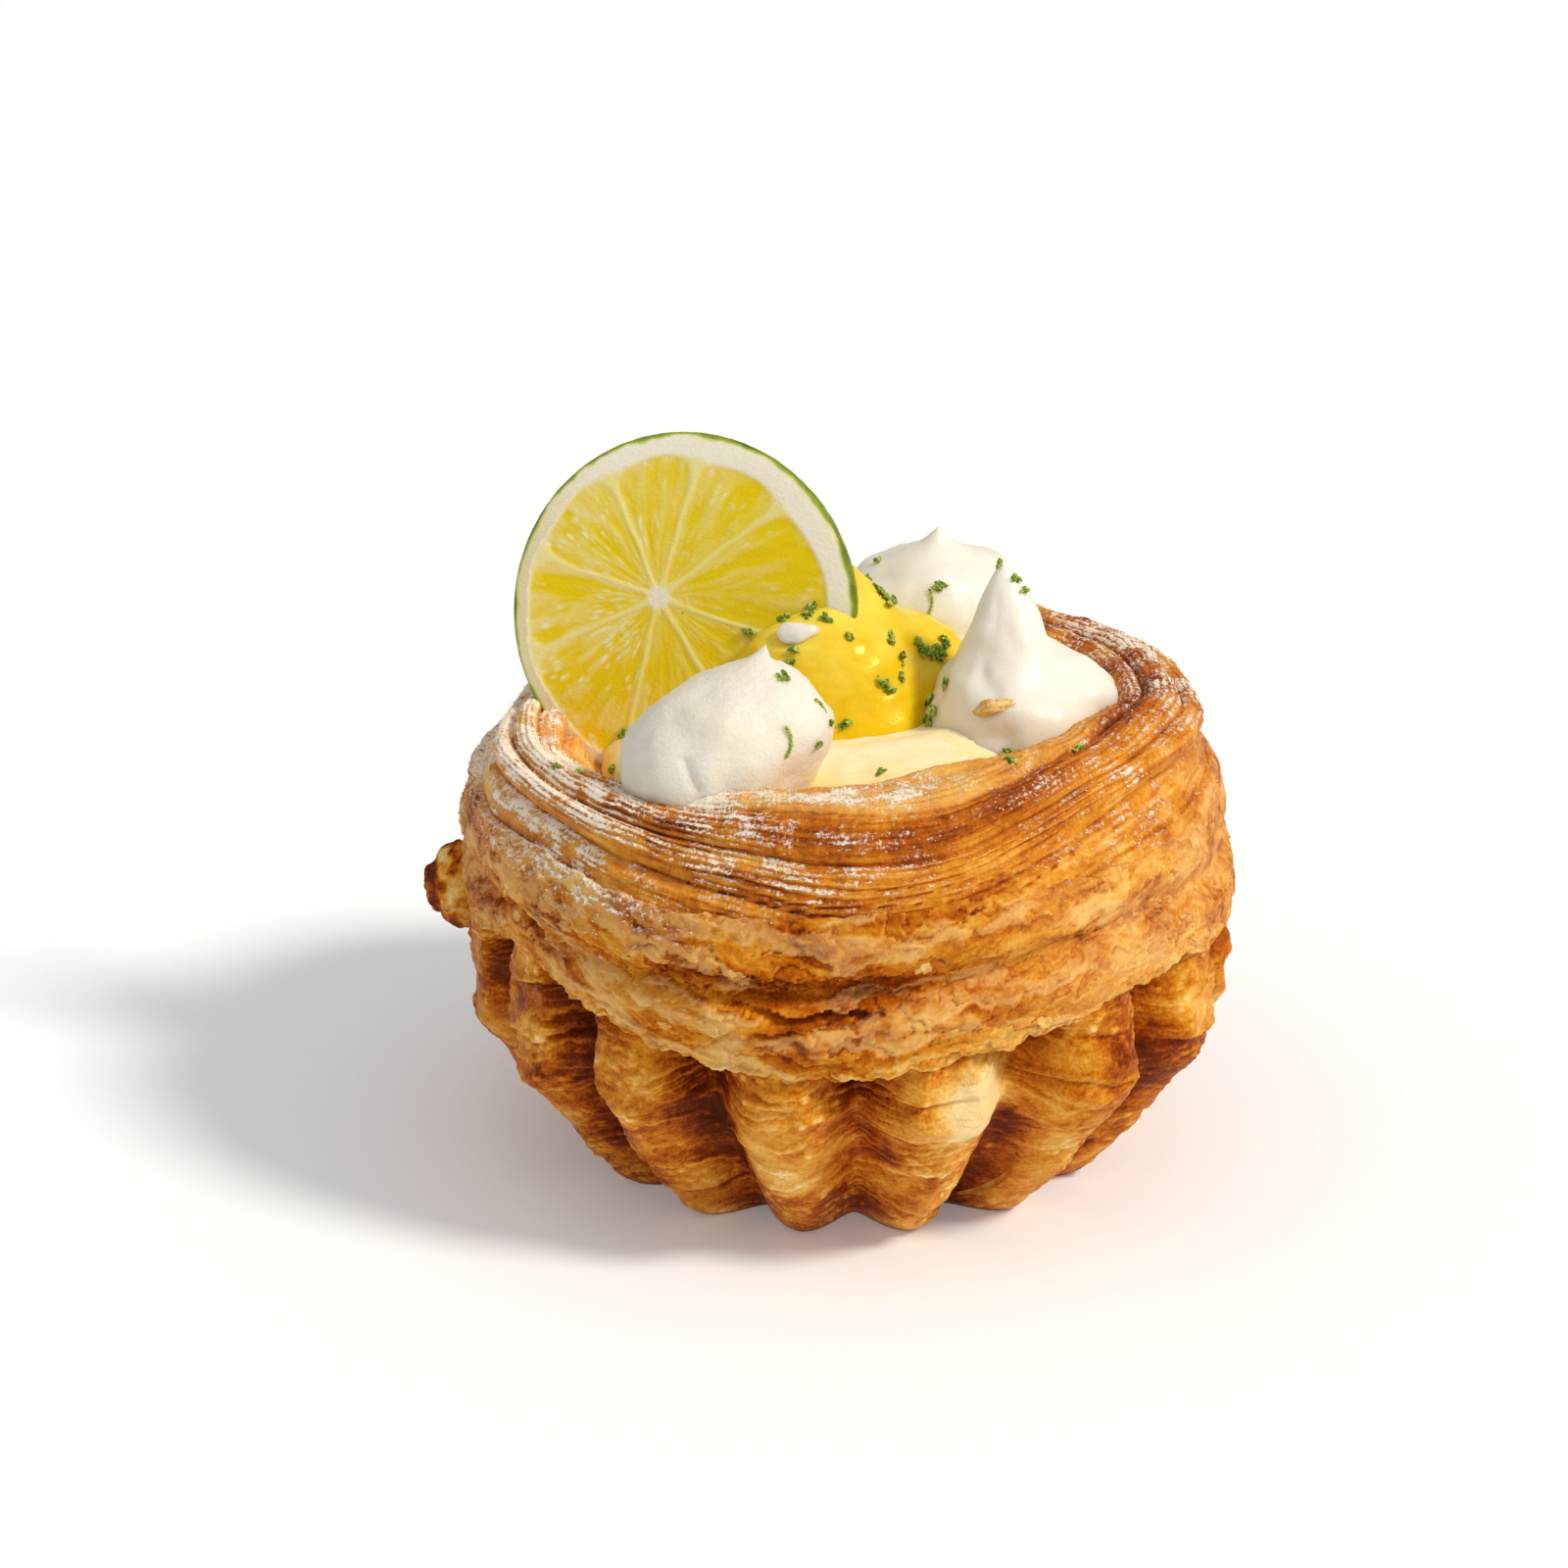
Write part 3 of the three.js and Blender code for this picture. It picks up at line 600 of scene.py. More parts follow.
def makeSideSheet():
    made = sideSheet
    turns = frontLoadedTurns(made["columns"])
    edge = topEdgeAt(turns)
    skin = Skin(turns, np.linspace(0, 1, made["rows"])[:, None] * (edge + made["overlap"]))
    place = skin.unrolled
    drift = layeredNoise(place / 6, 3, 40)
    plateAt = place + np.stack([np.zeros_like(drift)] * 2 + [drift * 1.5], -1)
    plateSize = (made["plateWidth"], made["plateWidth"], made["plateHeight"])
    plate = layeredNoise(plateAt / plateSize, 5, made["seed"])
    level = plate * made["plateSteps"] + skin.arc / made["courses"]
    plates, course, within = shingles(level)
    blister = cellNoise(place / made["blisterSize"], 60)[0]
    grit = layeredNoise(place / 0.9, 3, 70)
    crackLine = layeredNoise(place / (9, 9, 3.2), 4, 80)
    cracked = dip(crackLine, 0.03) * smooth(layeredNoise(place / 10, 2, 90), 0.0, 0.3)
    tearPush, tearShade = tearRelief(skin, 1.2 * drift + 0.5 * layeredNoise(place / 2.2, 2, 95))
    onSide = smooth(skin.along, 0.0, 0.05)
    rightSide = sideShare(turns, *made["smoothSide"])
    calm = 1 - 0.5 * sideShare(turns, 185, 45) * smooth(skin.along, 0.15, 0.3) - 0.8 * rightSide
    push = calm * made["plateRise"] * plates * (0.4 + 0.6 * onSide) + made["blister"] * (0.5 - blister)
    lines = levelNoise(place, 16, (skin.arc + 2.5 * drift) / 1.1, 3, 98)
    push += made["grit"] * grit - made["crackDepth"] * cracked + tearPush + made["lines"] * lines
    film = smooth(layeredNoise(plateAt / (14, 14, 3.8), 5, 44), -0.06, 0.03)
    film = film * (1 - 0.7 * smooth(layeredNoise(place / (3.4, 3.4, 1.8), 4, 48), 0.14, 0.24))
    film = lerp(film, 0.5, 0.6 * rightSide) + 0.25 * sideShare(turns, -52, 13)
    push += made["filmRise"] * film
    # the sheet's upper edge is ragged and ends on the coils
    overEdge = skin.along - edge - 0.012 * layeredNoise(place / 3.5, 4, 100)
    push += made["standOff"] - made["edgeDrop"] * smooth(overEdge, -0.002, 0.012)
    push -= made["thinning"] * smooth(-overEdge, 0, 0.16)
    skin.push(push)
    lip = 1 - smooth(skin.along, 0, 0.1)
    crumble = layeredNoise(place / (2.2, 2.2, 3.0), 4, 110)
    skin.height += lip * (0.7 * crumble + 0.9 * grainNoise(place / (9, 9, 20), 112))
    torn = layeredNoise(place / (5, 5, 0.9), 3, 122)
    skin.radius += lip * (0.25 * layeredNoise(place / 1.4, 3, 120) + 0.6 * torn)
    points = skin.points()

    # under the lip the sheet turns in over the flutes
    under = []
    for inward, rise in made["under"]:
        ring = points[0].copy()
        ring[:, :2] *= 1 - inward / skin.radius[0][:, None]
        ring[:, 2] += rise
        under.append(ring)
    points = np.concatenate([np.array(under), points])

    def withUnder(values, low):
        return np.concatenate([np.full((len(under), made["columns"]), low), values])
    courseTone = fraction(np.stack([course.astype(np.int64)] * 3, -1), 7) - 0.5
    patches = layeredNoise(place / (11, 11, 6), 3, 130)
    tone = made["bake"]
    bake = tone["whole"] + tone["courses"] * courseTone + tone["patches"] * patches + tone["film"] * film
    # painted shadow: the foot of each plate, under the next plate's edge, is darker
    plateTop, plateFootShade = 1 - smooth(within, 0.0, 0.22), smooth(within, 0.72, 1.0)
    bake += tone["plateTop"] * plateTop + tone["plateFootShade"] * plateFootShade
    # painted shade: the bake is darker down the cracks and in the tear slits
    bake += tone["crackShade"] * cracked + tone["tears"] * tearShade + tone["lines"] * lines + tone["lip"] * lip
    for middle, spread, darker in tone["sides"]:
        bake += darker * sideShare(turns, middle, spread)
    for middle, spread, low, high, darker in tone["rising"]:
        bake += darker * sideShare(turns, middle, spread) * smooth(skin.along, low, high)
    middle, spread, up, reach, darker = tone["paleBand"]
    bake += darker * sideShare(turns, middle, spread) * dip(skin.along - up, reach)
    normals = ringNormals(skin.points())
    faceUp = np.clip(normals[..., 2], 0, 1)
    aboveEdge = skin.arc - edge * skin.arc[-1] / skin.along[-1]
    sugar = sugarFall(skin.turn, aboveEdge) * smooth(faceUp, 0.15, 0.6)
    masks = dict(bake=withUnder(bake, tone["underside"]), sugar=withUnder(sugar, 0.0),
                 film=withUnder(film, 0.0), layer=withUnder(skin.arc + 1.2 * drift, 0.0))
    faces = ringFaces(len(points), made["columns"])
    addPiece("collar_side", points, faces, collarFinish, ["pastry"], masks)
    return dict(points=skin.points(), normals=normals, turns=turns, sugar=sugar, along=skin.along)


# Where icing sugar fell: turn in degrees, millimetres above the sheet's edge, spreads of both, amount
sugarPatches = (
    (-150, 10, 34, 13, 1.2), (-118, 15, 22, 9, 0.85), (-88, 17, 22, 4.5, 0.7), (-100, 6, 30, 6, 0.6),
    (-38, 11, 30, 14, 0.5), (-4, 13, 24, 14, 0.66), (26, 14, 26, 10, 0.82), (75, 13, 34, 10, 0.7),
    (120, 12, 34, 10, 0.8), (165, 9, 30, 14, 1.1), (-127, -3, 13, 4.5, 0.85), (-140, 2, 16, 6, 0.9),
)


def sugarFall(turn, above):
    amount = np.zeros_like(turn)
    for middle, level, spread, reach, strength in sugarPatches:
        amount = np.maximum(amount, strength * sideShare(turn, middle, spread) * dip(above - level, reach))
    return amount


# Top of the collar: the rolled dough's thin layers, wound round the well like low terraces
rolledTop = dict(
    columns=610, rows=148, underlap=0.045, ridges=6, rollRise=0.8, ridgeRise=0.62, riser=0.3, tremble=0.1,
    fill=(0.35, 0.85), lump=0.3, grit=0.06, blister=0.16, creaseDepth=0.45, seed=21,
    wallRows=((0.955, 0.86), (0.93, 0.6), (0.92, 0.2)),  # how far in and up the rows of the well's wall lie
    bake=dict(
        whole=0.55, patches=0.16, layers=0.24, creases=0.3, fine=0.1, blisters=-0.08, riserShadeAndCaramel=0.26,
        brinks=-0.2, frontBand=0.18, left=-0.2, innerLip=-0.23, wall=0.5,
        sides=((-34, 30, -0.12), (4, 24, 0.07)),  # turn and spread, and how much darker
    ),
)


def makeRolledTop():
    made = rolledTop
    turns = frontLoadedTurns(made["columns"])
    edge = topEdgeAt(turns)
    share = np.linspace(0, 1, made["rows"])[:, None]
    # rows run along the rolls, and meet the edges at both ends
    level = lerp(0.4, 1.0, share) + rollSag(turns) - 0.03
    level = lerp(edge - made["underlap"], level, smooth(share, 0.0, 0.22))
    level = lerp(level, 1.0, smooth(share, 0.62, 1.0) ** 1.2)
    skin = Skin(turns, np.maximum.accumulate(level + 1e-4 * share, axis=0))
    place = skin.unrolled
    above = skin.arc - edge * skin.arc[-1]
    front, left, right = sideShare(turns, -82, 38), sideShare(turns, 176, 44), sideShare(turns, -10, 45)
    plainRoll = rollPlace(skin.turn, skin.along)
    waver = 0.22 * grainNoise(place / 30, made["seed"]) + 0.07 * grainNoise(place / 11, made["seed"] + 1)
    roll = plainRoll + waver
    number = np.floor(roll)
    within = roll - number
    band = dip(roll - 1.45, 0.42) * front  # the broad smooth roll at the front
    innerLip = smooth(roll, 1.8, 2.2) * front
    rollShare = lerp(0.5 + 0.35 * left - 0.2 * right, 0.3, front)
    ridgeShare = lerp(0.75 - 0.4 * left - 0.3 * right, 1.0, front)
    ridgeShare = ridgeShare * (1 - 0.85 * band) * (1 - 0.7 * innerLip)
    dome = 1 - np.abs(2 * within - 1) ** 2.4
    crease = (dip(within, 0.05) + dip(within - 1, 0.05)) * lerp(0.6, 0.45, front) * (1 - 0.8 * innerLip)
    waves = 0.9 * grainNoise(place / (14, 14, 5), 142) * np.sin(math.pi * within)
    ridgeAt = within * made["ridges"] + waves + 0.12 * layeredNoise(place / 2.4, 2, 146)
    ridge = np.floor(ridgeAt)
    inRidge = ridgeAt - ridge
    own = (number * made["ridges"] + ridge) * 5.7 + 0.5
    ownTone = levelNoise(place, 20, own, 2, 185)
    ridgeShare = ridgeShare * np.clip(0.65 + 1.2 * ownTone, 0.1, 1.25)
    terrace = smooth(inRidge, 0, made["riser"]) - inRidge
    riser = 1 - smooth(inRidge, made["riser"] * 0.3, made["riser"])
    brink = dip(inRidge - made["riser"], 0.14)
    fine = levelNoise(place, 11, roll * 13, 2, 150)
    push = made["rollRise"] * rollShare * (dome - 0.6) + made["ridgeRise"] * ridgeShare * terrace
    groove = rollForm["depth"] * dip(plainRoll - np.round(plainRoll), rollForm["width"])
    push += lerp(*made["fill"], front) * groove
    push += 0.5 * front * dip(roll - 2, 0.3) + made["tremble"] * fine
    push -= made["creaseDepth"] * crease
    bubble, _, bubbleSize = cellNoise(place / 1.25, 172)
    bubbly = smooth(layeredNoise(place / 8, 2, 174), -0.2, 0.2)
    bubbles = (1 - smooth(bubble, 0.1, 0.7)) * bubbleSize * bubbly
    push += made["lump"] * layeredNoise(place / 5, 3, 160)
    push += made["grit"] * layeredNoise(place / 0.9, 2, 170) + made["blister"] * bubbles
    skin.push(push * smooth(1 - skin.along, 0, 0.04))
    points = skin.points()

    # the wall of the well, down to its floor
    wall = []
    for inward, up in made["wallRows"]:
        radius = wellForm["wallRadius"] * wellStretch(turns) * lerp(1.0, inward, 0.4)
        radius = np.minimum(radius, skin.radius[-1] - 0.3)
        height = lerp(wellForm["floorHeight"], skin.height[-1], up)
        wall.append(polar(radius, turns, height))
    points = np.concatenate([points, np.array(wall)])

    def withWall(values, low):
        return np.concatenate([values, np.full((len(wall), made["columns"]), low)])
    patches = layeredNoise(place / (12, 12, 5), 3, 180)
    tone = made["bake"]
    bake = tone["whole"] + tone["patches"] * patches + tone["fine"] * fine + tone["blisters"] * bubbles
    # painted shade: darker down the creases between rolls; the risers are darker partly as caramel and partly
    # as painted shade
    bake += (tone["creases"] - 0.12 * right) * crease + tone["layers"] * ownTone * ridgeShare
    bake += (tone["riserShadeAndCaramel"] - 0.14 * right) * riser * ridgeShare + tone["brinks"] * brink * ridgeShare
    bake += tone["frontBand"] * band + tone["left"] * left + tone["innerLip"] * innerLip
    # the caramel of the front roll runs on round the right
    bake += 0.3 * dip(roll - 2.0, 0.42) * sideShare(turns, -30, 34) * (1 - innerLip)
    for middle, spread, darker in tone["sides"]:
        bake += darker * sideShare(turns, middle, spread)
    normals = ringNormals(skin.points())
    faceUp = np.clip(normals[..., 2], 0, 1)
    tread = smooth(inRidge, made["riser"] * 0.6, made["riser"] * 1.2) * (1 - smooth(inRidge, 0.8, 1))
    tread = lerp(tread, 1, np.clip(innerLip + 0.4 * band + 0.55 * left, 0, 1))
    sugar = sugarFall(skin.turn, above) * smooth(faceUp, 0.1, 0.5) * (0.42 + 0.62 * tread - 0.3 * crease)
    sugar = sugar * np.clip(0.9 + 0.9 * layeredNoise(place / (6, 6, 3), 3, 190), 0.3, 1.2)
    film = 0.1 + 0.5 * innerLip + 0.4 * left
    masks = dict(bake=withWall(bake, tone["wall"]), sugar=withWall(sugar, 0.25), film=withWall(film, 0.3),
                 layer=withWall(roll * 9, 0.0))
    faces = ringFaces(len(points), made["columns"])
    addPiece("collar_top", points, faces, collarFinish, ["pastry"], masks)
    return dict(points=skin.points(), normals=normals, sugar=sugar)


# Fluted cup: layers of dough pressed into the mould, with thin edges round every flute
flutedCup = dict(
    columns=640, rows=148, courseHeight=7.0, fineHeight=1.35, droop=2.6, sway=4.0, sheetRise=0.9,
    fineRise=0.3, lump=0.8, blister=0.5, valleyIn=-0.5, crestOut=0.4, sunk=0.45, unrolledRadius=46.0, seed=31,
    bake=dict(
        crest=0.44, valley=0.78, courses=0.18, patches=0.26, sheetFootShade=0.16, sheetTop=-0.2, layerFootShade=0.12,
        layerTop=-0.16, rough=0.14, blisters=-0.42, shadeSide=(-150, 45, 0.06), ends=0.75,
    ),
    # turn, height, spreads and how pale; the first is a smooth fold of dough
    paleFlutes=((-70, 26, 7, 5.5, 0.9), (-74, 13, 6, 4, 0.12), (-100, 22, 8, 6, 0.12), (-101, 11, 7, 4, 0.16),
                (-54, 15, 8, 4, 0.1), (-88, 18, 5, 9, 0.2)),
)


def makeFlutedCup():
    made = flutedCup
    turns = frontLoadedTurns(made["columns"])
    lipSkin = Skin(turns, np.zeros((2, made["columns"])) + np.array([[0.0], [0.01]]))
    lipRadius, lipHeight = lipSkin.radius[0], lipSkin.height[0]
    top = lipHeight + cupForm["tuck"] * (1 - fluteWave(turns, 1)) + 1.0
    height = lerp(cupForm["footRound"], top, np.linspace(0, 1, made["rows"])[:, None])
    turn = np.broadcast_to(turns, height.shape)
    wave = fluteWave(turn, 0.5)
    base = np.minimum(fluteRadius(turn, height), lipRadius - cupForm["overhang"])
    place = polar(made["unrolledRadius"], turn, height)
    base = base + lerp(made["valleyIn"], made["crestOut"], smooth(wave, 0.05, 0.8)) * smooth(height, 1, 9)
    sway = grainNoise(place / 17, made["seed"]) + 0.4 * grainNoise(place / 6, made["seed"] + 1)
    sway = sway + 0.1 * layeredNoise(place / 1.8, 2, made["seed"] + 5)
    folded = height + made["droop"] * wave + made["sway"] * sway
    sheets, course, within = shingles(folded / made["courseHeight"], 0.94, 0.07)
    fineFold = folded + 0.5 * layeredNoise(place / 2.4, 2, 202) + 2.2 * grainNoise(place / (9, 9, 6), 203)
    fineFold = fineFold / made["fineHeight"]
    thin, thinCourse, thinWithin = shingles(fineFold, 1.0, 0.25)
    thinOwn = levelNoise(place, 8, thinCourse * 2.7, 2, 206)
    middle, level, spread, reach, _ = made["paleFlutes"][0]
    lobe = sideShare(turns, middle, spread) * dip(height - level, reach)
    lined = np.clip(0.34 - 0.4 * smooth(wave, 0.35, 0.9) + 1.9 * thinOwn, 0, 1) * (1 - 0.8 * lobe)
    lumps = layeredNoise(place / 6, 3, 210)
    bubble, _, bubbleSize = cellNoise(place / 1.3 + 0.2 * layeredNoise(place / 1.5, 2, 213)[..., None], 212)
    bubbly = smooth(layeredNoise(place / 7, 2, 214), -0.3, 0.1) * (1 - 0.5 * lined) * (1 - 0.9 * lobe)
    bubbles = (1 - smooth(bubble, 0.1, 0.62)) * (0.2 + 0.8 * bubbleSize) * bubbly
    ownRise = 0.45 + 1.5 * levelNoise(place, 15, course * 3.3, 2, 215)
    push = made["sheetRise"] * np.clip(ownRise, 0.0, 1.3) * (sheets - 0.06 * course)
    push += made["fineRise"] * lined * thin + made["lump"] * lumps + made["blister"] * bubbles
    radius = base + push * smooth(height, 0.5, 3) - made["sunk"]
    points = polar(radius, turn, height)
    skin = dict(points=points, normals=ringNormals(points), turns=turns, along=height / top)
    foot = fluteRadius(turns, 0) - cupForm["footRound"]
    rings = [polar(foot * share, turns, 0 * turns) for share in (0.5, 0.9, 1.0)]
    inner = points[-1] * (0.9, 0.9, 1.0) + (0, 0, 1.5)
    points = np.concatenate([np.array(rings), points, inner[None]])

    def withEnds(values, plain):
        first, last = (np.full((count, made["columns"]), plain) for count in (len(rings), 1))
        return np.concatenate([first, values, last]).ravel().tolist() + [plain, plain]
    courseTone = levelNoise(place, 13, course * 7.1, 2, 218)
    patches = layeredNoise(place / (9, 9, 6), 3, 220)
    tone = made["bake"]
    bake = lerp(tone["valley"], tone["crest"], smooth(wave, 0.0, 0.85))
    bake = bake + tone["courses"] * courseTone + tone["patches"] * patches
    # painted shadow: the foot of each sheet and of each thin layer, under the next edge, is darker
    sheetTop, sheetFootShade = (1 - smooth(within, 0.03, 0.14)) * (0.4 + 0.6 * wave), smooth(within, 0.86, 1.0)
    bake += np.clip(ownRise, 0, 1) * (tone["sheetFootShade"] * sheetFootShade + tone["sheetTop"] * sheetTop)
    layerTop = 1 - smooth(thinWithin, 0.1, 0.5)
    bake += lined * (tone["layerFootShade"] * smooth(thinWithin, 0.5, 1.0) + tone["layerTop"] * layerTop)
    bake += tone["rough"] * bubbly + tone["blisters"] * bubbles
    for middle, level, spread, reach, pale in made["paleFlutes"]:
        bake -= pale * sideShare(turns, middle, spread) * dip(height - level, reach)
    middle, spread, darker = tone["shadeSide"]
    bake += darker * sideShare(turns, middle, spread)
    film = 0.04 * smooth(wave, 0.85, 1.0) + 0.9 * sideShare(turns, -70, 6) * dip(height - 25, 5)
    film += 0.1 * (1 - smooth(height, 3, 9)) * wave
    faces = ringFaces(len(points), made["columns"], True, True)
    flat = np.concatenate([points.reshape(-1, 3), [(0, 0, 0), (0, 0, float(top.mean()) + 2)]])
    masks = dict(bake=withEnds(bake, tone["ends"]), sugar=withEnds(bake * 0, 0.0), film=withEnds(film, 0.0),
                 layer=withEnds(folded * 1.5, 0.0))
    addPiece("fluted_cup", flat, faces, cupFinish, ["pastry"], masks)
    return skin


# Tip of the rolled strip: a small browned knob on the left, paler near the pastry
stripTip = dict(turn=174, radius=53.6, height=34.2, size=(5.6, 4.2, 6.2), columns=96, rows=64, coil=0.05,
                lump=0.1, bakeNear=0.36, bakeFar=0.74)


def makeStripTip():
    made = stripTip
    turns = evenTurns(made["columns"])
    rise = np.linspace(-0.5, 0.5, made["rows"] + 2)[1:-1, None] * math.pi
    ball = polar(np.cos(rise), turns, np.sin(rise) + 0 * turns)
    out = ball[..., 0]
    end = np.hypot(ball[..., 1], ball[..., 2])
    swirl = np.arctan2(ball[..., 2], ball[..., 1])
    coil = np.cos(2 * fullTurn * (end * 1.1 + swirl / fullTurn * 0.5)) * smooth(out, -0.1, 0.6)
    lumps = layeredNoise(ball * 2.2, 4, 230)
    ball = ball * (1 + made["coil"] * coil + made["lump"] * lumps)[..., None]
    points = ball * made["size"]
    poles = np.array([(0, 0, -made["size"][2]), (0, 0, made["size"][2])])
    points = np.concatenate([points.reshape(-1, 3), poles])
    turn = math.radians(made["turn"])
    points = (points + (made["radius"], 0, made["height"])) @ spinAbout(turn).T
    far = smooth(out + 0.6 * lumps - 0.25 * ball[..., 2], 0.0, 0.5)
    bake = lerp(made["bakeNear"], made["bakeFar"], far) - 0.1 * coil + 0.34 * lumps
    dusted = 0.12 * (1 - smooth(out + 0.5 * lumps, 0.1, 0.5))
    masks = dict(bake=bake.ravel().tolist() + [0.8, 0.5], sugar=dusted.ravel().tolist() + [0, 0],
                 layer=(end * 6).ravel().tolist() + [0, 0])
    faces = ringFaces(made["rows"], made["columns"], True, True)
    addPiece("strip_tip", points, faces, cupFinish, ["pastry"], masks)


sideSkin = makeSideSheet()
topSkin = makeRolledTop()
cupSkin = makeFlutedCup()
makeStripTip()
print("crust shaped")


# Camera at the photograph's angle: a long lens, looking a little down on the front
view = dict(place=(0.0, -598.3, 277.5), aim=(-8.9, 10.2, 47.6), lens=107.0, sensor=36.0, pixels=1600,
            farEnd=20)


def makeCamera():
    camera = bpy.data.cameras.new("camera")
    camera.lens = view["lens"]
    camera.sensor_width = view["sensor"]
    camera.clip_end = view["farEnd"]
    holder = bpy.data.objects.new("camera", camera)
    bpy.context.scene.collection.objects.link(holder)
    holder.location = Vector(view["place"]) * 0.001
    way = Vector(view["aim"]) - Vector(view["place"])
    holder.rotation_euler = way.to_track_quat("-Z", "Y").to_euler()
    bpy.context.scene.camera = holder


def pixelRay(across, down):  # from the camera through a pixel of the 1600 x 1600 picture
    start = Vector(view["place"])
    ahead = (Vector(view["aim"]) - start).normalized()
    right = ahead.cross(Vector((0, 0, 1))).normalized()
    scale = view["sensor"] / view["lens"] / view["pixels"]
    half = view["pixels"] / 2
    way = ahead + right * (across - half) * scale + right.cross(ahead) * (half - down) * scale
    return start, way.normalized()


makeCamera()


# Custard cream: a piped bead round a lower middle, with fine drag lines
creamForm = dict(edgeHeight=59, edgeDrop=5.5, beadRadius=20.5, beadHeight=64.7, middleHeight=62.5,
                 columns=240, rows=80, unrolledRadius=24, lines=0.14, lump=0.35, light=(255, 247, 218),
                 deep=(250, 212, 100))


def makeCreamFinish():
    finish, tree = newFinish("custardCream")
    soft = softTone(tree, creamForm, 5.0, 0.5)
    surface(tree, {"Base Color": soft["Color"], "Roughness": soft["Roughness"],
                   "Normal": bumped(tree, soft["Height"], 0.00008), "Subsurface Weight": 0.25,
                   "Subsurface Radius": (1.0, 0.7, 0.35), "Subsurface Scale": 0.002,
                   "Specular IOR Level": 0.45})
    return finish


def makeCream():
    made = creamForm
    edge = wellForm["wallRadius"] - 0.1
    bead = made["beadRadius"]
    section = np.array([(edge, wellForm["wallHeight"]), (edge, made["edgeHeight"]),
                        (lerp(bead, edge, 0.8), lerp(made["edgeHeight"], made["beadHeight"], 0.65)),
                        (bead, made["beadHeight"]),
                        (bead - 6, lerp(made["middleHeight"], made["beadHeight"], 0.4)),
                        (bead - 12, made["middleHeight"]), (1.0, made["middleHeight"])])
    rows = splineRows(section, made["rows"])
    turns = evenTurns(made["columns"])
    radius, height = rows[:, :1] * wellStretch(turns), rows[:, 1:] + 0 * turns
    height = height - opening(turns) * made["edgeDrop"] * (rows[:, :1] / edge)
    turn = np.broadcast_to(turns, radius.shape)
    run = np.arange(made["rows"])[:, None] / made["rows"] * 42
    place = polar(made["unrolledRadius"], turn, run + 0 * turns)
    drag = layeredNoise(place / (8, 8, 0.7), 3, 240)
    lump = layeredNoise(place / 5, 3, 250)
    push = made["lines"] * drag + made["lump"] * lump
    points = polar(radius + push * 0.5, turn, height + push * 0.8)
    # painted shade: the cream is deeper yellow towards its outer edge; the drag lines vary it too
    depth = 0.25 + 0.75 * (1 - smooth(run + 0 * turns, 9, 19)) + 0.2 * drag
    flat = np.concatenate([points.reshape(-1, 3), [(0, 0, made["middleHeight"])]])
    faces = ringFaces(made["rows"], made["columns"], False, True)
    return addPiece("custard_cream_bead", flat, faces, makeCreamFinish(), ["custard_cream"],
                    dict(depth=depth.ravel().tolist() + [0.3]))


# Lime curd: a glossy spoonful drawn up to a peak over a broad fold
curdForm = dict(at=(0.6, 3.5, 60.5), radius=14.5, height=20.7, foldAt=(-4.2, -3.6, 64.5),
                foldSize=(12.4, 8.4, 12.4), backAt=(8.5, 7.0, 64.5), backSize=(8.5, 5.5, 8.8), blend=2.6,
                swirl=0.34, ripple=0.08, columns=180, rows=104, lowest=-50, light=(248, 226, 88),
                deep=(234, 194, 0),
                profile=((1.02, 0.0), (1, 0.1), (0.84, 0.24), (0.6, 0.38), (0.42, 0.52), (0.3, 0.68),
                         (0.17, 0.86), (0, 1)))


def makeCurdFinish():
    finish, tree = newFinish("limeCurd")
    soft = softTone(tree, curdForm, 6.0, 0.9)
    surface(tree, {"Base Color": soft["Color"], "Roughness": 0.17,
                   "Normal": bumped(tree, soft["Height"], 0.00008), "Subsurface Weight": 0.35,
                   "Subsurface Radius": (1.0, 0.75, 0.12), "Subsurface Scale": 0.0025,
                   "Specular IOR Level": 0.34, "Specular Tint": shade(255, 236, 130), "Coat Weight": 0.14,
                   "Coat Roughness": 0.13})
    return finish


def curdInside(points):  # above 0 inside the spoonful, with its lobes run softly together
    made = curdForm
    local = points - made["at"]
    share = local[..., 2] / made["height"]
    line = splineRows(np.array(made["profile"]), 200)
    reach = np.interp(np.clip(share, 0, 1), line[:, 1], line[:, 0]) * made["radius"]
    turn = np.arctan2(local[..., 1], local[..., 0])
    reach = reach * (1 + 0.07 * np.sin(3 * turn + 1 + 2 * share) + 0.05 * np.sin(5 * turn + 5 * share))
    peak = np.minimum(reach - np.hypot(local[..., 0], local[..., 1]), (1 - share) * made["height"])
    lobes = [peak]
    for middle, size in ((made["foldAt"], made["foldSize"]), (made["backAt"], made["backSize"])):
        lobes.append((1 - np.linalg.norm((points - middle) / size, axis=-1)) * min(size))
    return made["blend"] * np.log(sum(np.exp(lobe / made["blend"]) for lobe in lobes))


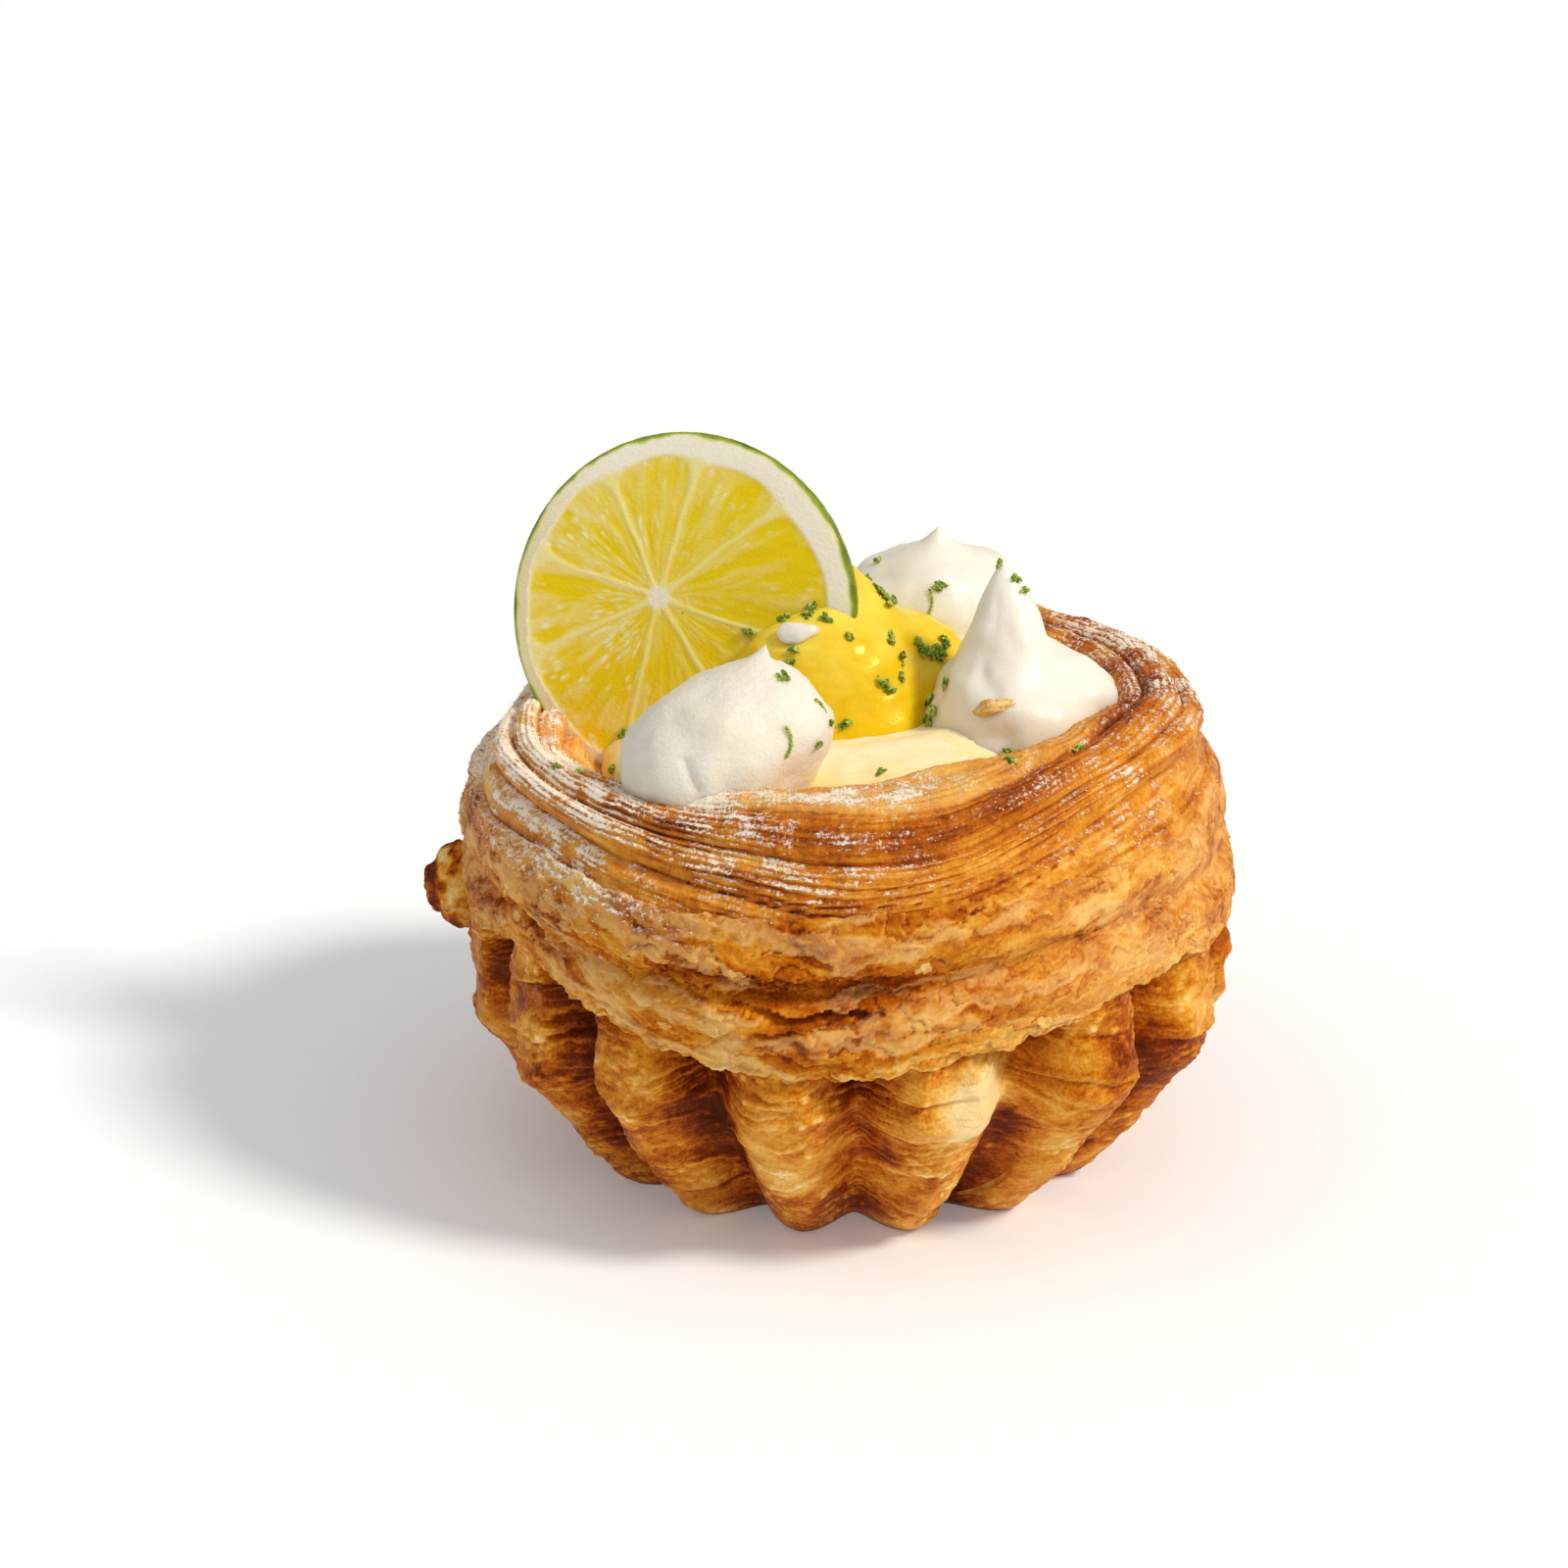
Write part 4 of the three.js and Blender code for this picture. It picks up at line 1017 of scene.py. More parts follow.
def makeCurd():
    made = curdForm
    turns = evenTurns(made["columns"])
    rise = np.radians(np.linspace(made["lowest"], 90, made["rows"] + 1)[:-1, None])
    ways = polar(np.cos(rise), turns, np.sin(rise) + 0 * turns)
    ways = np.concatenate([ways.reshape(-1, 3), [(0, 0, 1)]])
    heart = np.array(made["at"]) + (0, 0, 5.5)
    steps = np.linspace(0, 26, 66)
    inside = np.stack([curdInside(heart + ways * step) > 0 for step in steps])
    last = len(steps) - 1 - np.argmax(inside[::-1], axis=0)
    near, far = steps[last], steps[np.minimum(last + 1, len(steps) - 1)]
    for _ in range(14):
        middle = (near + far) / 2
        within = curdInside(heart + ways * middle[:, None]) > 0
        near, far = np.where(within, middle, near), np.where(within, far, middle)
    points = heart + ways * near[:, None]
    swirl = layeredNoise(points / (7, 7, 3.5), 3, 260)
    ripple = layeredNoise(points / (5, 5, 1.7), 2, 264)
    points = points + ways * (made["swirl"] * swirl + made["ripple"] * ripple)[:, None]
    # painted light and shade: paler up the peak and deeper low down; the swirl adds real mottle
    high, low = smooth(points[:, 2], 69, 80), 1 - smooth(points[:, 2], 64, 70)
    depth = np.clip(0.75 + 0.5 * swirl - 0.55 * high + 0.3 * low, 0, 1)
    faces = ringFaces(made["rows"], made["columns"], False, True)
    return addPiece("lime_curd_peak", points, faces, makeCurdFinish(), ["lime_curd"],
                    dict(depth=depth))


# Meringue kisses: soft satin foam with a drawn tip
kissForms = {  # a crease runs from one turn and share up to another, so wide and so deep
    "meringue_front": dict(
        at=(-18, -25.5, 56.4), radius=(13.2, 12.2), height=23.4, lean=(7.2, 1.8), section="plump",
        skin="dry", foam=0.11, paintedShade=0.3,
        creases=((-114, 0.5, -101, 0.35, 0.5, 0.6), (-100, 0.3, -94, 0.22, 0.7, 0.3))),
    "meringue_right": dict(
        at=(22.9, -7, 58.9), radius=(12.4, 11.6), height=26.4, lean=(-2.4, 2), section="drawn",
        skin="satin", foam=0.035, paintedShade=0, toe=(8, 0.37, 0.2, 0.15),
        creases=((-112, 0.72, -96, 0.68, 2.6, 0.45), (-122, 0.5, -106, 0.44, 1.4, 0.6),
                 (-116, 0.25, -98, 0.24, 1.6, 0.5))),
    "meringue_back": dict(
        at=(11.6, 22, 58.1), radius=(14.2, 12.6), height=24, lean=(0.8, -1.5), section="domed",
        skin="satin", foam=0.035, paintedShade=-0.2, creases=((-80, 0.5, -40, 0.42, 2.6, 0.5),)),
}
kissSections = {
    "plump": ((0, 0), (0.62, 0.03), (0.93, 0.18), (1, 0.37), (0.93, 0.56), (0.72, 0.73), (0.42, 0.84),
              (0.15, 0.91), (0, 1)),
    "domed": ((0, 0), (0.64, 0.03), (0.94, 0.17), (1, 0.35), (0.95, 0.54), (0.82, 0.69), (0.62, 0.785),
              (0.36, 0.85), (0.17, 0.905), (0, 1)),
    "drawn": ((0, 0), (0.7, 0.01), (1, 0.12), (0.98, 0.27), (0.8, 0.42), (0.58, 0.57), (0.38, 0.73),
              (0.16, 0.91), (0, 1)),
}
kissGrid = dict(columns=150, rows=116, soft=0.8)
# the deep tone serves the mottle and the painted warm shade low on the kisses
meringueTones = dict(light=(246, 244, 237), deep=(228, 220, 200))


def makeMeringueFinish(name, bumpDepth, gloss):
    finish, tree = newFinish(name)
    soft = softTone(tree, meringueTones, 7.0, 0.5)
    rough = plus(tree, soft["Roughness"], 0.04)
    surface(tree, {"Base Color": soft["Color"], "Roughness": rough,
                   "Normal": bumped(tree, soft["Height"], bumpDepth), "Subsurface Weight": 0.55,
                   "Subsurface Radius": (1.0, 0.85, 0.55), "Subsurface Scale": 0.004,
                   "Specular IOR Level": 0.4, "Coat Weight": gloss, "Coat Roughness": 0.3})
    return finish


meringueFinishes = {"dry": makeMeringueFinish("dryMeringue", 0.00024, 0.0),
                    "satin": makeMeringueFinish("satinMeringue", 0.00006, 0.35)}


def makeKiss(name, made):
    rows, columns = kissGrid["rows"], kissGrid["columns"]
    line = splineRows(np.array(kissSections[made["section"]]), rows + 2)[1:-1]
    turns = evenTurns(columns)
    up = line[:, 1:] + 0 * turns
    across = np.maximum(line[:, :1], 0.002)
    lobes = 0.03 * np.sin(2 * turns + made["at"][0]) + 0.035 * np.sin(3 * turns + made["at"][1] + 4 * up)
    across = across * (1 + lobes)
    if "toe" in made:  # one flank hollow, over a round toe
        middle, level, swell, hollow = made["toe"]
        flank = sideShare(turns, middle, 42)
        across = across + flank * (swell * dip(up - level, 0.11) - hollow * dip(up - level - 0.26, 0.12))
    points = polar(across, turns, up) * (*made["radius"], made["height"])
    ways = ringNormals(points)
    soft = layeredNoise(points / 7 + made["at"], 2, 270)
    foam = layeredNoise(points / 1.1 + made["at"], 3, 280)
    push = kissGrid["soft"] * soft * smooth(up, 0.95, 0.7) + made["foam"] * foam
    for fromTurn, fromUp, toTurn, toUp, wide, depth in made["creases"]:
        start = np.array((math.radians(fromTurn) * made["radius"][0], fromUp * made["height"]))
        run = np.array((math.radians(toTurn) * made["radius"][0], toUp * made["height"])) - start
        offX = apart(turns, math.radians(fromTurn)) * made["radius"][0] + 0 * up
        offY = up * made["height"] - start[1]
        share = np.clip((offX * run[0] + offY * run[1]) / (run @ run), 0, 1)
        push = push - depth * dip(np.hypot(offX - share * run[0], offY - share * run[1]), wide)
    points = points + ways * push[..., None]
    bend = np.maximum(points[..., 2:] / made["height"], 0) ** 1.6
    points[..., :2] += bend * made["lean"]
    poles = np.array([(0, 0, 0), (made["lean"][0], made["lean"][1], made["height"])])
    flat = np.concatenate([points.reshape(-1, 3), poles]) + made["at"]
    # painted shade and warm reflected light: deeper towards the bottom, and darker or paler for each kiss by
    # its painted shade
    depth = np.clip(0.55 + made["paintedShade"] - 0.6 * smooth(up, 0.0, 0.55) + 0.2 * soft, 0, 1)
    return addPiece(name + "_kiss", flat, ringFaces(rows, columns, True, True),
                    meringueFinishes[made["skin"]], [name],
                    dict(depth=depth.ravel().tolist() + [0.6, 0.1]))


# Lime slice: a wheel with membranes from an off-centre core, juicy cells, pith and green rind
limeForm = dict(centre=(-22.0, 5, 74.5), radius=24.9, thickness=4.6, turn=-17.5, rimRound=0.75, lean=16,
                pith=3.2, core=(-3.6, 1.8), fleshShift=(-1.0, -0.3),
                walls=(41, 78, 118, 167, 209, 262, 307, 347), wallWidth=0.14, sunk=0.14, taper=1.1,
                cellRelief=0.08, glintRelief=0.14, columns=420, rows=90, backRows=24, rimRows=12,
                flesh=(244, 219, 14), honey=(228, 194, 0), paleAndGlint=(255, 253, 222), membrane=(250, 241, 176),
                pithTone=(255, 252, 236), pithShadeAndSponge=(232, 222, 184), rind=(54, 80, 6),
                rindPale=(142, 166, 44), zestTone=(204, 214, 112), wetRough=0.14, juicy=0.24)


def makeLimeFinish():
    made = limeForm
    finish, tree = newFinish("limeSlice")
    place = millimetres(tree)
    mottle = noiseAt(tree, place, 0.45, 4.0)
    fine = noiseAt(tree, place, 2.2, 3.0)
    # the cell mask paints highlights and lit streaks into the juice, and painted shade into the pith
    juice = blendColours(tree, mask(tree, "cell"), shade(*made["flesh"]), shade(*made["paleAndGlint"]))
    juice = blendColours(tree, times(tree, mottle, 0.3), juice, shade(*made["honey"]))
    inner = blendColours(tree, mask(tree, "membrane"), juice, shade(*made["membrane"]))
    sponge = times(tree, minus(tree, fine, 0.45), 0.9)
    spongy = plus(tree, mask(tree, "cell"), sponge, True)
    pith = blendColours(tree, spongy, shade(*made["pithTone"]), shade(*made["pithShadeAndSponge"]))
    whole = blendColours(tree, mask(tree, "pith"), inner, pith)
    broad = plus(tree, noiseAt(tree, place, 0.24, 3.0), times(tree, fine, 0.4))
    speckled = put(tree, "ShaderNodeMapRange", {0: broad, 1: 0.42, 2: 1.02}, clamp=True).outputs[0]
    peel = blendColours(tree, speckled, shade(*made["rind"]), shade(*made["rindPale"]))
    green = times(tree, mask(tree, "rind"), 2.0)
    whole = blendColours(tree, math2(tree, "MINIMUM", green, 1.0), whole, shade(*made["zestTone"]))
    whole = blendColours(tree, minus(tree, green, 1.0, True), whole, peel)
    dry = plus(tree, mask(tree, "pith"), mask(tree, "rind"), True)
    rough = plus(tree, made["wetRough"], times(tree, dry, plus(tree, 0.2, times(tree, fine, 0.3))))
    wet = times(tree, made["juicy"], minus(tree, 1.0, dry, True))
    surface(tree, {"Base Color": whole, "Roughness": rough, "Normal": bumped(tree, fine, 0.0001),
                   "Coat Weight": wet, "Coat Roughness": 0.06, "Subsurface Weight": 0.35,
                   "Subsurface Radius": (1.0, 0.8, 0.15), "Subsurface Scale": 0.0022,
                   "Specular IOR Level": 0.3, "Specular Tint": shade(255, 244, 170)})
    return finish


def limeFace(across, up):  # what lies at a point of the cut face: relief and masks
    made = limeForm
    fromCore = np.hypot(across - made["core"][0], up - made["core"][1])
    turn = np.arctan2(up - made["core"][1], across - made["core"][0])
    reach = np.hypot(across - made["fleshShift"][0], up - made["fleshShift"][1])
    waver = 0.35 * grainNoise(np.stack([fromCore / 5, turn * 2, turn * 0], -1), 290)
    wallGap = np.full_like(fromCore, 99.0)
    for wall in made["walls"]:
        off = apart(turn, math.radians(wall))
        gap = np.where(np.abs(off) < 1.4, np.abs(fromCore * np.sin(off) + waver), 99)
        wallGap = np.minimum(wallGap, gap)
    rimGap = made["radius"] - made["pith"] - reach + 0.25 * np.sin(turn * 9)
    soften = lerp(0.7, 1.6, smooth(fromCore, 6, 18))
    room = -soften * np.log(np.exp(-(wallGap - made["wallWidth"]) / soften) + np.exp(-rimGap / soften)
                            + np.exp(-(fromCore - 1.0) / soften))
    inFlesh = smooth(room, -0.2, 0.45)
    # juice vesicles run out from the core; a few get painted highlights as short pale dashes, and the streaks
    # are painted paler on the lit left side
    fibre = layeredNoise(np.stack([fromCore / 6, turn * 11, turn * 0 + 0.4], -1), 3, 300)
    glintAt = np.stack([fromCore / 1.7 + 0.5 * np.sin(turn * 5), turn * 22, turn * 0 + 3.7], -1)
    glintGap, _, glintOwner = cellNoise(glintAt, 305)
    lit = 0.3 + 0.7 * smooth(-across - 0.6 * up, -6, 16)
    crowd = smooth(layeredNoise(np.stack([across, up, 0 * up], -1) / 6, 2, 306), -0.2, 0.2)
    glint = smooth(glintOwner, 0.45, 0.55) * dip(glintGap, 0.12 + 0.24 * glintOwner) * lit * crowd
    relief = -made["sunk"] * inFlesh
    swell = made["cellRelief"] * fibre + made["glintRelief"] * glint
    relief = relief + swell * inFlesh * smooth(room, 0, 1.2)
    # painted light: paler towards the upper left, where light shows through the slice; paler by the walls as
    # the flesh itself is
    glowSideAndWalls = 0.12 * smooth(up - across, -8, 26) + 0.1 * (1 - smooth(room, 0.3, 2.0))
    cell = np.clip((0.2 + 0.3 * lit) * fibre + 1.8 * glint + glowSideAndWalls, 0, 1)
    heart = 1 - smooth(fromCore, 1.0, 2.0)
    pith = np.maximum((1 - inFlesh) * smooth(-rimGap, -0.9, 0.2), heart)
    # painted shade: in the pith the cell mask darkens the lower left side towards the deeper pith tone
    cell = np.where(rimGap < 0, smooth(-across - 0.4 * up, 2, 24), cell)
    return relief, dict(cell=cell, membrane=0.72 * (1 - inFlesh), pith=pith)


def makeLimeSlice():
    made = limeForm
    half = made["thickness"] / 2
    turns = evenTurns(made["columns"])
    faceEdge = made["radius"] - made["rimRound"]

    def faceRings(shares):
        radius = np.maximum(shares, 0.004)[:, None] * faceEdge
        across, up = radius * np.cos(turns), radius * np.sin(turns)
        relief, masks = limeFace(across, up)
        return np.stack([across, up, half + relief], -1), masks
    back, backMasks = faceRings(np.linspace(0, 1, made["backRows"]))
    narrower = 1 - made["taper"] / made["radius"]
    back = back * (narrower, narrower, -1)
    face, faceMasks = faceRings(np.linspace(1, 0, made["rows"]))
    bend = np.linspace(-1, 1, made["rimRows"])[:, None] * math.pi / 2
    pores = layeredNoise(polar(made["radius"], turns + 0 * bend, bend * 2 + 0 * turns) / 1.3, 2, 310)
    bulge = np.sign(np.cos(bend)) * np.abs(np.cos(bend)) ** 0.6
    radius = faceEdge + made["rimRound"] * bulge + 0.1 * pores * np.cos(bend)
    radius = radius - made["taper"] * (1 - np.sin(bend)) / 2
    rim = polar(radius, turns, half * np.sin(bend) + 0 * turns)[1:-1]
    points = np.concatenate([back, rim, face])
    masks = {}
    for label, onRim in (("cell", 0.0), ("membrane", 0.0), ("pith", 1.0)):
        masks[label] = np.concatenate([backMasks[label], np.full(rim.shape[:2], onRim), faceMasks[label]])
    rindIn = 0.45 + 0.9 * layeredNoise(polar(5, turns, 0 * turns), 3, 315)

    def rindShare(rings):
        reach = np.hypot(rings[..., 0], rings[..., 1])
        return smooth(reach, faceEdge - np.clip(rindIn, 0.1, 1), faceEdge + 0.2) ** 1.4
    masks["rind"] = np.concatenate([rindShare(back / narrower), np.ones(rim.shape[:2]), rindShare(face)])
    turn, lean = math.radians(made["turn"]), math.radians(made["lean"])
    axes = [spinAbout(turn) @ way for way in ((1, 0, 0), (0, math.sin(lean), math.cos(lean)),
                                              (0, -math.cos(lean), math.sin(lean)))]
    world = points.reshape(-1, 3) @ np.array(axes) + made["centre"]
    faces = ringFaces(len(points), made["columns"])
    return addPiece("lime_slice_wheel", world, faces, makeLimeFinish(), ["lime_slice"], masks)


cream = makeCream()
curd = makeCurd()
kissPieces = [makeKiss(name, made) for name, made in kissForms.items()]
lime = makeLimeSlice()
print("filling shaped")


# Torn flakes of crust: thin curled scraps that stand off the sheets
flakeRule = dict(
    count=18, width=(0.5, 1.5), height=(0.3, 0.8), lift=(0.05, 0.3), low=0.03, high=0.42, thick=0.16,
    spokes=28, rings=4, onSide=0.86, bake=(0.16, 0.46), film=0.7, collarRadius=54, collarLength=50, seed=17,
    # skin, turn in degrees, share of the way up, width and height, lift of the loose edge
    spots=(("side", -105, 0.28, 1.3, 1.0, 0.9), ("side", -66, 0.07, 1.3, 0.6, 0.9),
           ("side", -69, 0.04, 1.4, 0.5, 0.8), ("side", -63, 0.05, 1.0, 0.6, 0.9)),
)


def onSkin(skin, turn, along):  # point and way out at places between the grid's points
    points, normals = skin["points"], skin["normals"]
    columns = points.shape[1]
    wrapped = np.mod(turn - skin["turns"][0], fullTurn) + skin["turns"][0]
    marks = np.append(skin["turns"], skin["turns"][0] + fullTurn)
    column = np.interp(wrapped, marks, np.arange(columns + 1))
    left = column.astype(int) % columns
    right = (left + 1) % columns
    row = np.clip(along / skin["along"][-1, left], 0, 1) * (len(points) - 1.001)
    low = row.astype(int)
    shareX, shareY = (column % 1)[..., None], (row % 1)[..., None]

    def between(values):
        return lerp(lerp(values[low, left], values[low, right], shareX),
                    lerp(values[low + 1, left], values[low + 1, right], shareX), shareY)
    return between(points), between(normals)


def makeFlake(skin, turn, along, width, height, lift, number):
    rule = flakeRule
    angles = evenTurns(rule["spokes"])
    ragged = 1 + 0.6 * layeredNoise(polar(1.6, angles, 0 * angles + 3.1 * number), 4, 320)
    shares = np.linspace(0.25, 1, rule["rings"])[:, None]
    across, up = shares * ragged * np.cos(angles), shares * ragged * np.sin(angles)
    places = turn + across * width / rule["collarRadius"], along + up * height / rule["collarLength"]
    spots, ways = onSkin(skin, *places)
    ways = lerp(ways, onSkin(skin, np.array([turn]), np.array([along]))[1], 0.7)
    ways = ways / np.linalg.norm(ways, axis=-1, keepdims=True)
    loose = np.clip(0.2 - 0.8 * up + 0.25 * across * math.sin(number * 2.4), 0, 2)
    wave = layeredNoise(np.stack([across * 1.3, up * 1.3, across * 0 + number], -1), 2, 330)
    rise = 0.06 + lift * loose ** 1.6 + 0.1 * wave
    upper = spots + ways * rise[..., None]
    lower = upper - ways * rule["thick"]
    rows = np.concatenate([lower, upper[::-1]])
    poles = np.array([lower[0].mean(0), upper[0].mean(0)])
    tone = np.concatenate([up, up[::-1]])
    return np.concatenate([rows.reshape(-1, 3), poles]), tone.ravel().tolist() + [0, 0]


def makeFlakes():
    rule = flakeRule
    draw = np.random.default_rng(rule["seed"])
    skins = dict(side=sideSkin, cup=cupSkin)
    wanted = list(rule["spots"])
    for _ in range(rule["count"]):
        kind = "side" if draw.random() < rule["onSide"] else "cup"
        turn, along = draw.uniform(-180, 180), draw.uniform(rule["low"], rule["high"])
        sizes = [draw.uniform(*rule[size]) for size in ("width", "height", "lift")]
        wanted.append((kind, turn, along if kind == "side" else 2 * along, *sizes))
    template = ringFaces(rule["rings"] * 2, rule["spokes"], True, True)
    points, faces, bakes, layers = [], [], [], []
    for number, (kind, turn, along, width, height, lift) in enumerate(wanted):
        spots, tone = makeFlake(skins[kind], math.radians(turn), along, width, height, lift, number)
        faces += [[corner + number * len(spots) for corner in face] for face in template]
        points.append(spots)
        bakes += (draw.uniform(*rule["bake"]) - 0.08 * np.array(tone)).tolist()
        layers += (np.array(tone) * height + number * 5).tolist()
    masks = dict(bake=bakes, sugar=np.zeros(len(bakes)), film=np.full(len(bakes), rule["film"]),
                 layer=layers)
    addPiece("crust_flakes", np.concatenate(points), faces, collarFinish, (), masks)


makeFlakes()


# Grains: one small rough ball, repeated at many places with its own size, stretch and tilt
def roughBall(detail):
    ball = bmesh.new()
    bmesh.ops.create_icosphere(ball, subdivisions=detail, radius=1.0)
    points = np.array([vertex.co[:] for vertex in ball.verts])
    faces = [[vertex.index for vertex in face.verts] for face in ball.faces]
    ball.free()
    return points, faces


def repeatFaces(faces, corners, count):
    return (np.array(faces)[None] + np.arange(count)[:, None, None] * corners).reshape(-1, 3).tolist()


def frameOf(normals, spins):  # three axes for each place: along, across and out of the surface
    helper = np.where(np.abs(normals[:, 2:]) < 0.9, np.array([(0.0, 0.0, 1.0)]),
                      np.array([(1.0, 0.0, 0.0)]))
    first = np.cross(helper, normals)
    first /= np.linalg.norm(first, axis=1, keepdims=True)
    second = np.cross(normals, first)
    turnX, turnY = np.cos(spins)[:, None], np.sin(spins)[:, None]
    return np.stack([first * turnX + second * turnY, second * turnX - first * turnY, normals], axis=1)


# Icing sugar grains, clumped where the sugar fell
sugarGrains = dict(count=5000, size=(0.05, 0.12), stray=0.16, light=(255, 249, 238), deep=(252, 242, 226),
                   seed=41)


def makeSugarGrains():
    made = sugarGrains
    draw = np.random.default_rng(made["seed"])
    skins = (topSkin, sideSkin)
    points, normals = (np.concatenate([skin[label].reshape(-1, 3) for skin in skins])
                       for label in ("points", "normals"))
    amount = np.concatenate([skin["sugar"].ravel() for skin in skins])
    clumps = np.clip(0.5 + 1.6 * layeredNoise(points / 1.6, 3, 340), 0, 2)
    chance = np.clip(amount, 0, 1) ** 2 * clumps + 0.0005 * (amount > 0.05)
    picked = draw.choice(len(points), made["count"], p=chance / chance.sum())
    ball, ballFaces = roughBall(1)
    sizes = draw.uniform(*made["size"], made["count"])[:, None] * draw.uniform(0.7, 1.3, (made["count"], 3))
    axes = frameOf(normals[picked], draw.uniform(0, fullTurn, made["count"]))
    jitter = draw.normal(0, made["stray"], (made["count"], 3))
    grains = np.einsum("nvk,nkj->nvj", ball[None] * sizes[:, None, :], axes)
    grains += (points[picked] + jitter + normals[picked] * sizes[:, 2:] * 0.5)[:, None, :]
    faces = repeatFaces(ballFaces, len(ball), made["count"])
    finish, tree = newFinish("icingSugar")
    place = millimetres(tree)
    tone = blendColours(tree, noiseAt(tree, place, 1.5), shade(*made["light"]), shade(*made["deep"]))
    rough = plus(tree, 0.5, times(tree, noiseAt(tree, place, 4.0), 0.3))
    surface(tree, {"Base Color": tone, "Roughness": rough, "Subsurface Weight": 0.2,
                   "Subsurface Radius": (1.0, 0.9, 0.8), "Subsurface Scale": 0.0004})
    addPiece("sugar_grains", grains, faces, finish)


makeSugarGrains()
print("sugar strewn")


# What lies on the filling is dropped on it, from above or along the line of sight
landing = {piece: BVHTree.FromObject(piece, bpy.context.evaluated_depsgraph_get())
           for piece in [cream, curd, lime, bpy.data.objects["collar_top"]] + kissPieces}


def firstHit(start, way):  # where a straight line lands, the way out there, and the piece it lands on
    hits = [(*tree.ray_cast(Vector(start) * 0.001, Vector(way)), piece) for piece, tree in landing.items()]
    hits = [hit for hit in hits if hit[0] is not None]
    if not hits:
        return None
    point, normal, _, _, piece = min(hits, key=lambda hit: hit[3])
    return np.array(point) * 1000, np.array(normal), piece


# Lime zest: crumbs of green grated off in small clusters, some strewn by a rule and some where they show
zestForm = dict(
    flecks=36, middle=(4, -5), spread=31, length=(0.9, 2.1), width=(0.45, 0.8), dropHeight=130, seed=20,
    hiddenSide=2.0, crumbs=6, crumbSize=(0.22, 0.46), crumple=0.7, dark=(66, 92, 8), mid=(138, 168, 32),
    pale=(214, 226, 112),
    # pixel and half length of each cluster that shows
    pixels=(
        (828, 619, 1.1), (824, 628, 1.0), (802, 631, 1.0), (845, 632, 0.6), (767, 645, 0.7), (867, 650, 0.5),
        (908, 615, 1.3), (903, 609, 0.9), (910, 653, 0.9), (935, 658, 1.0), (943, 664, 1.1), (954, 671, 1.3),
        (960, 664, 1.0), (920, 673, 0.9), (900, 697, 0.9), (908, 702, 0.7), (952, 711, 0.9), (955, 726, 0.9),
        (948, 736, 0.8), (862, 737, 0.7), (847, 737, 0.5), (805, 676, 0.9), (800, 694, 0.7), (836, 759, 0.5),
        (637, 749, 0.7), (900, 788, 0.6), (966, 697, 0.9), (1020, 577, 0.8), (1035, 590, 0.7),
        (1045, 602, 0.6), (896, 573, 0.7), (1030, 768, 0.7), (1031, 776, 0.6), (1100, 765, 0.7),
        (625, 786, 0.8), (592, 789, 0.9), (568, 783, 0.7), (919, 691, 0.4), (812, 664, 0.5),
    ),
    # pixel, length, thickness and lie of each long shred
    shreds=((950, 622, 4.6, 0.2, 1.3), (807, 757, 3.6, 0.24, 1.45), (837, 719, 2.2, 0.2, 1.9)),
)


def zestPlaces():
    made = zestForm
    state = made["seed"]
    places = []

    def nextDraw():
        nonlocal state
        state = (state * 1664525 + 1013904223) % 4294967296
        return state / 4294967296
    for _ in range(made["flecks"]):
        turn, reach = fullTurn * nextDraw(), made["spread"] * nextDraw() ** 0.6
        length, width = lerp(*made["length"], nextDraw()), lerp(*made["width"], nextDraw())
        spin = fullTurn * nextDraw()
        start = np.array((*made["middle"], made["dropHeight"])) + polar(reach, turn, 0)
        hit = firstHit(start, (0, 0, -1))
        if start[1] > made["hiddenSide"] and hit and hit[2] != lime:
            places.append((hit, length * 0.6, width, spin, made["crumbs"]))
    draw = np.random.default_rng(made["seed"])
    for across, down, length in made["pixels"]:
        crumbs = max(3, round(made["crumbs"] * length))
        spin = draw.uniform(0, fullTurn)
        places.append((firstHit(*pixelRay(across, down)), length, length * 0.7, spin, crumbs))
    for across, down, length, width, lie in made["shreds"]:
        places.append((firstHit(*pixelRay(across, down)), length / 2, width, lie, 0))
    return [place for place in places if place[0] is not None]


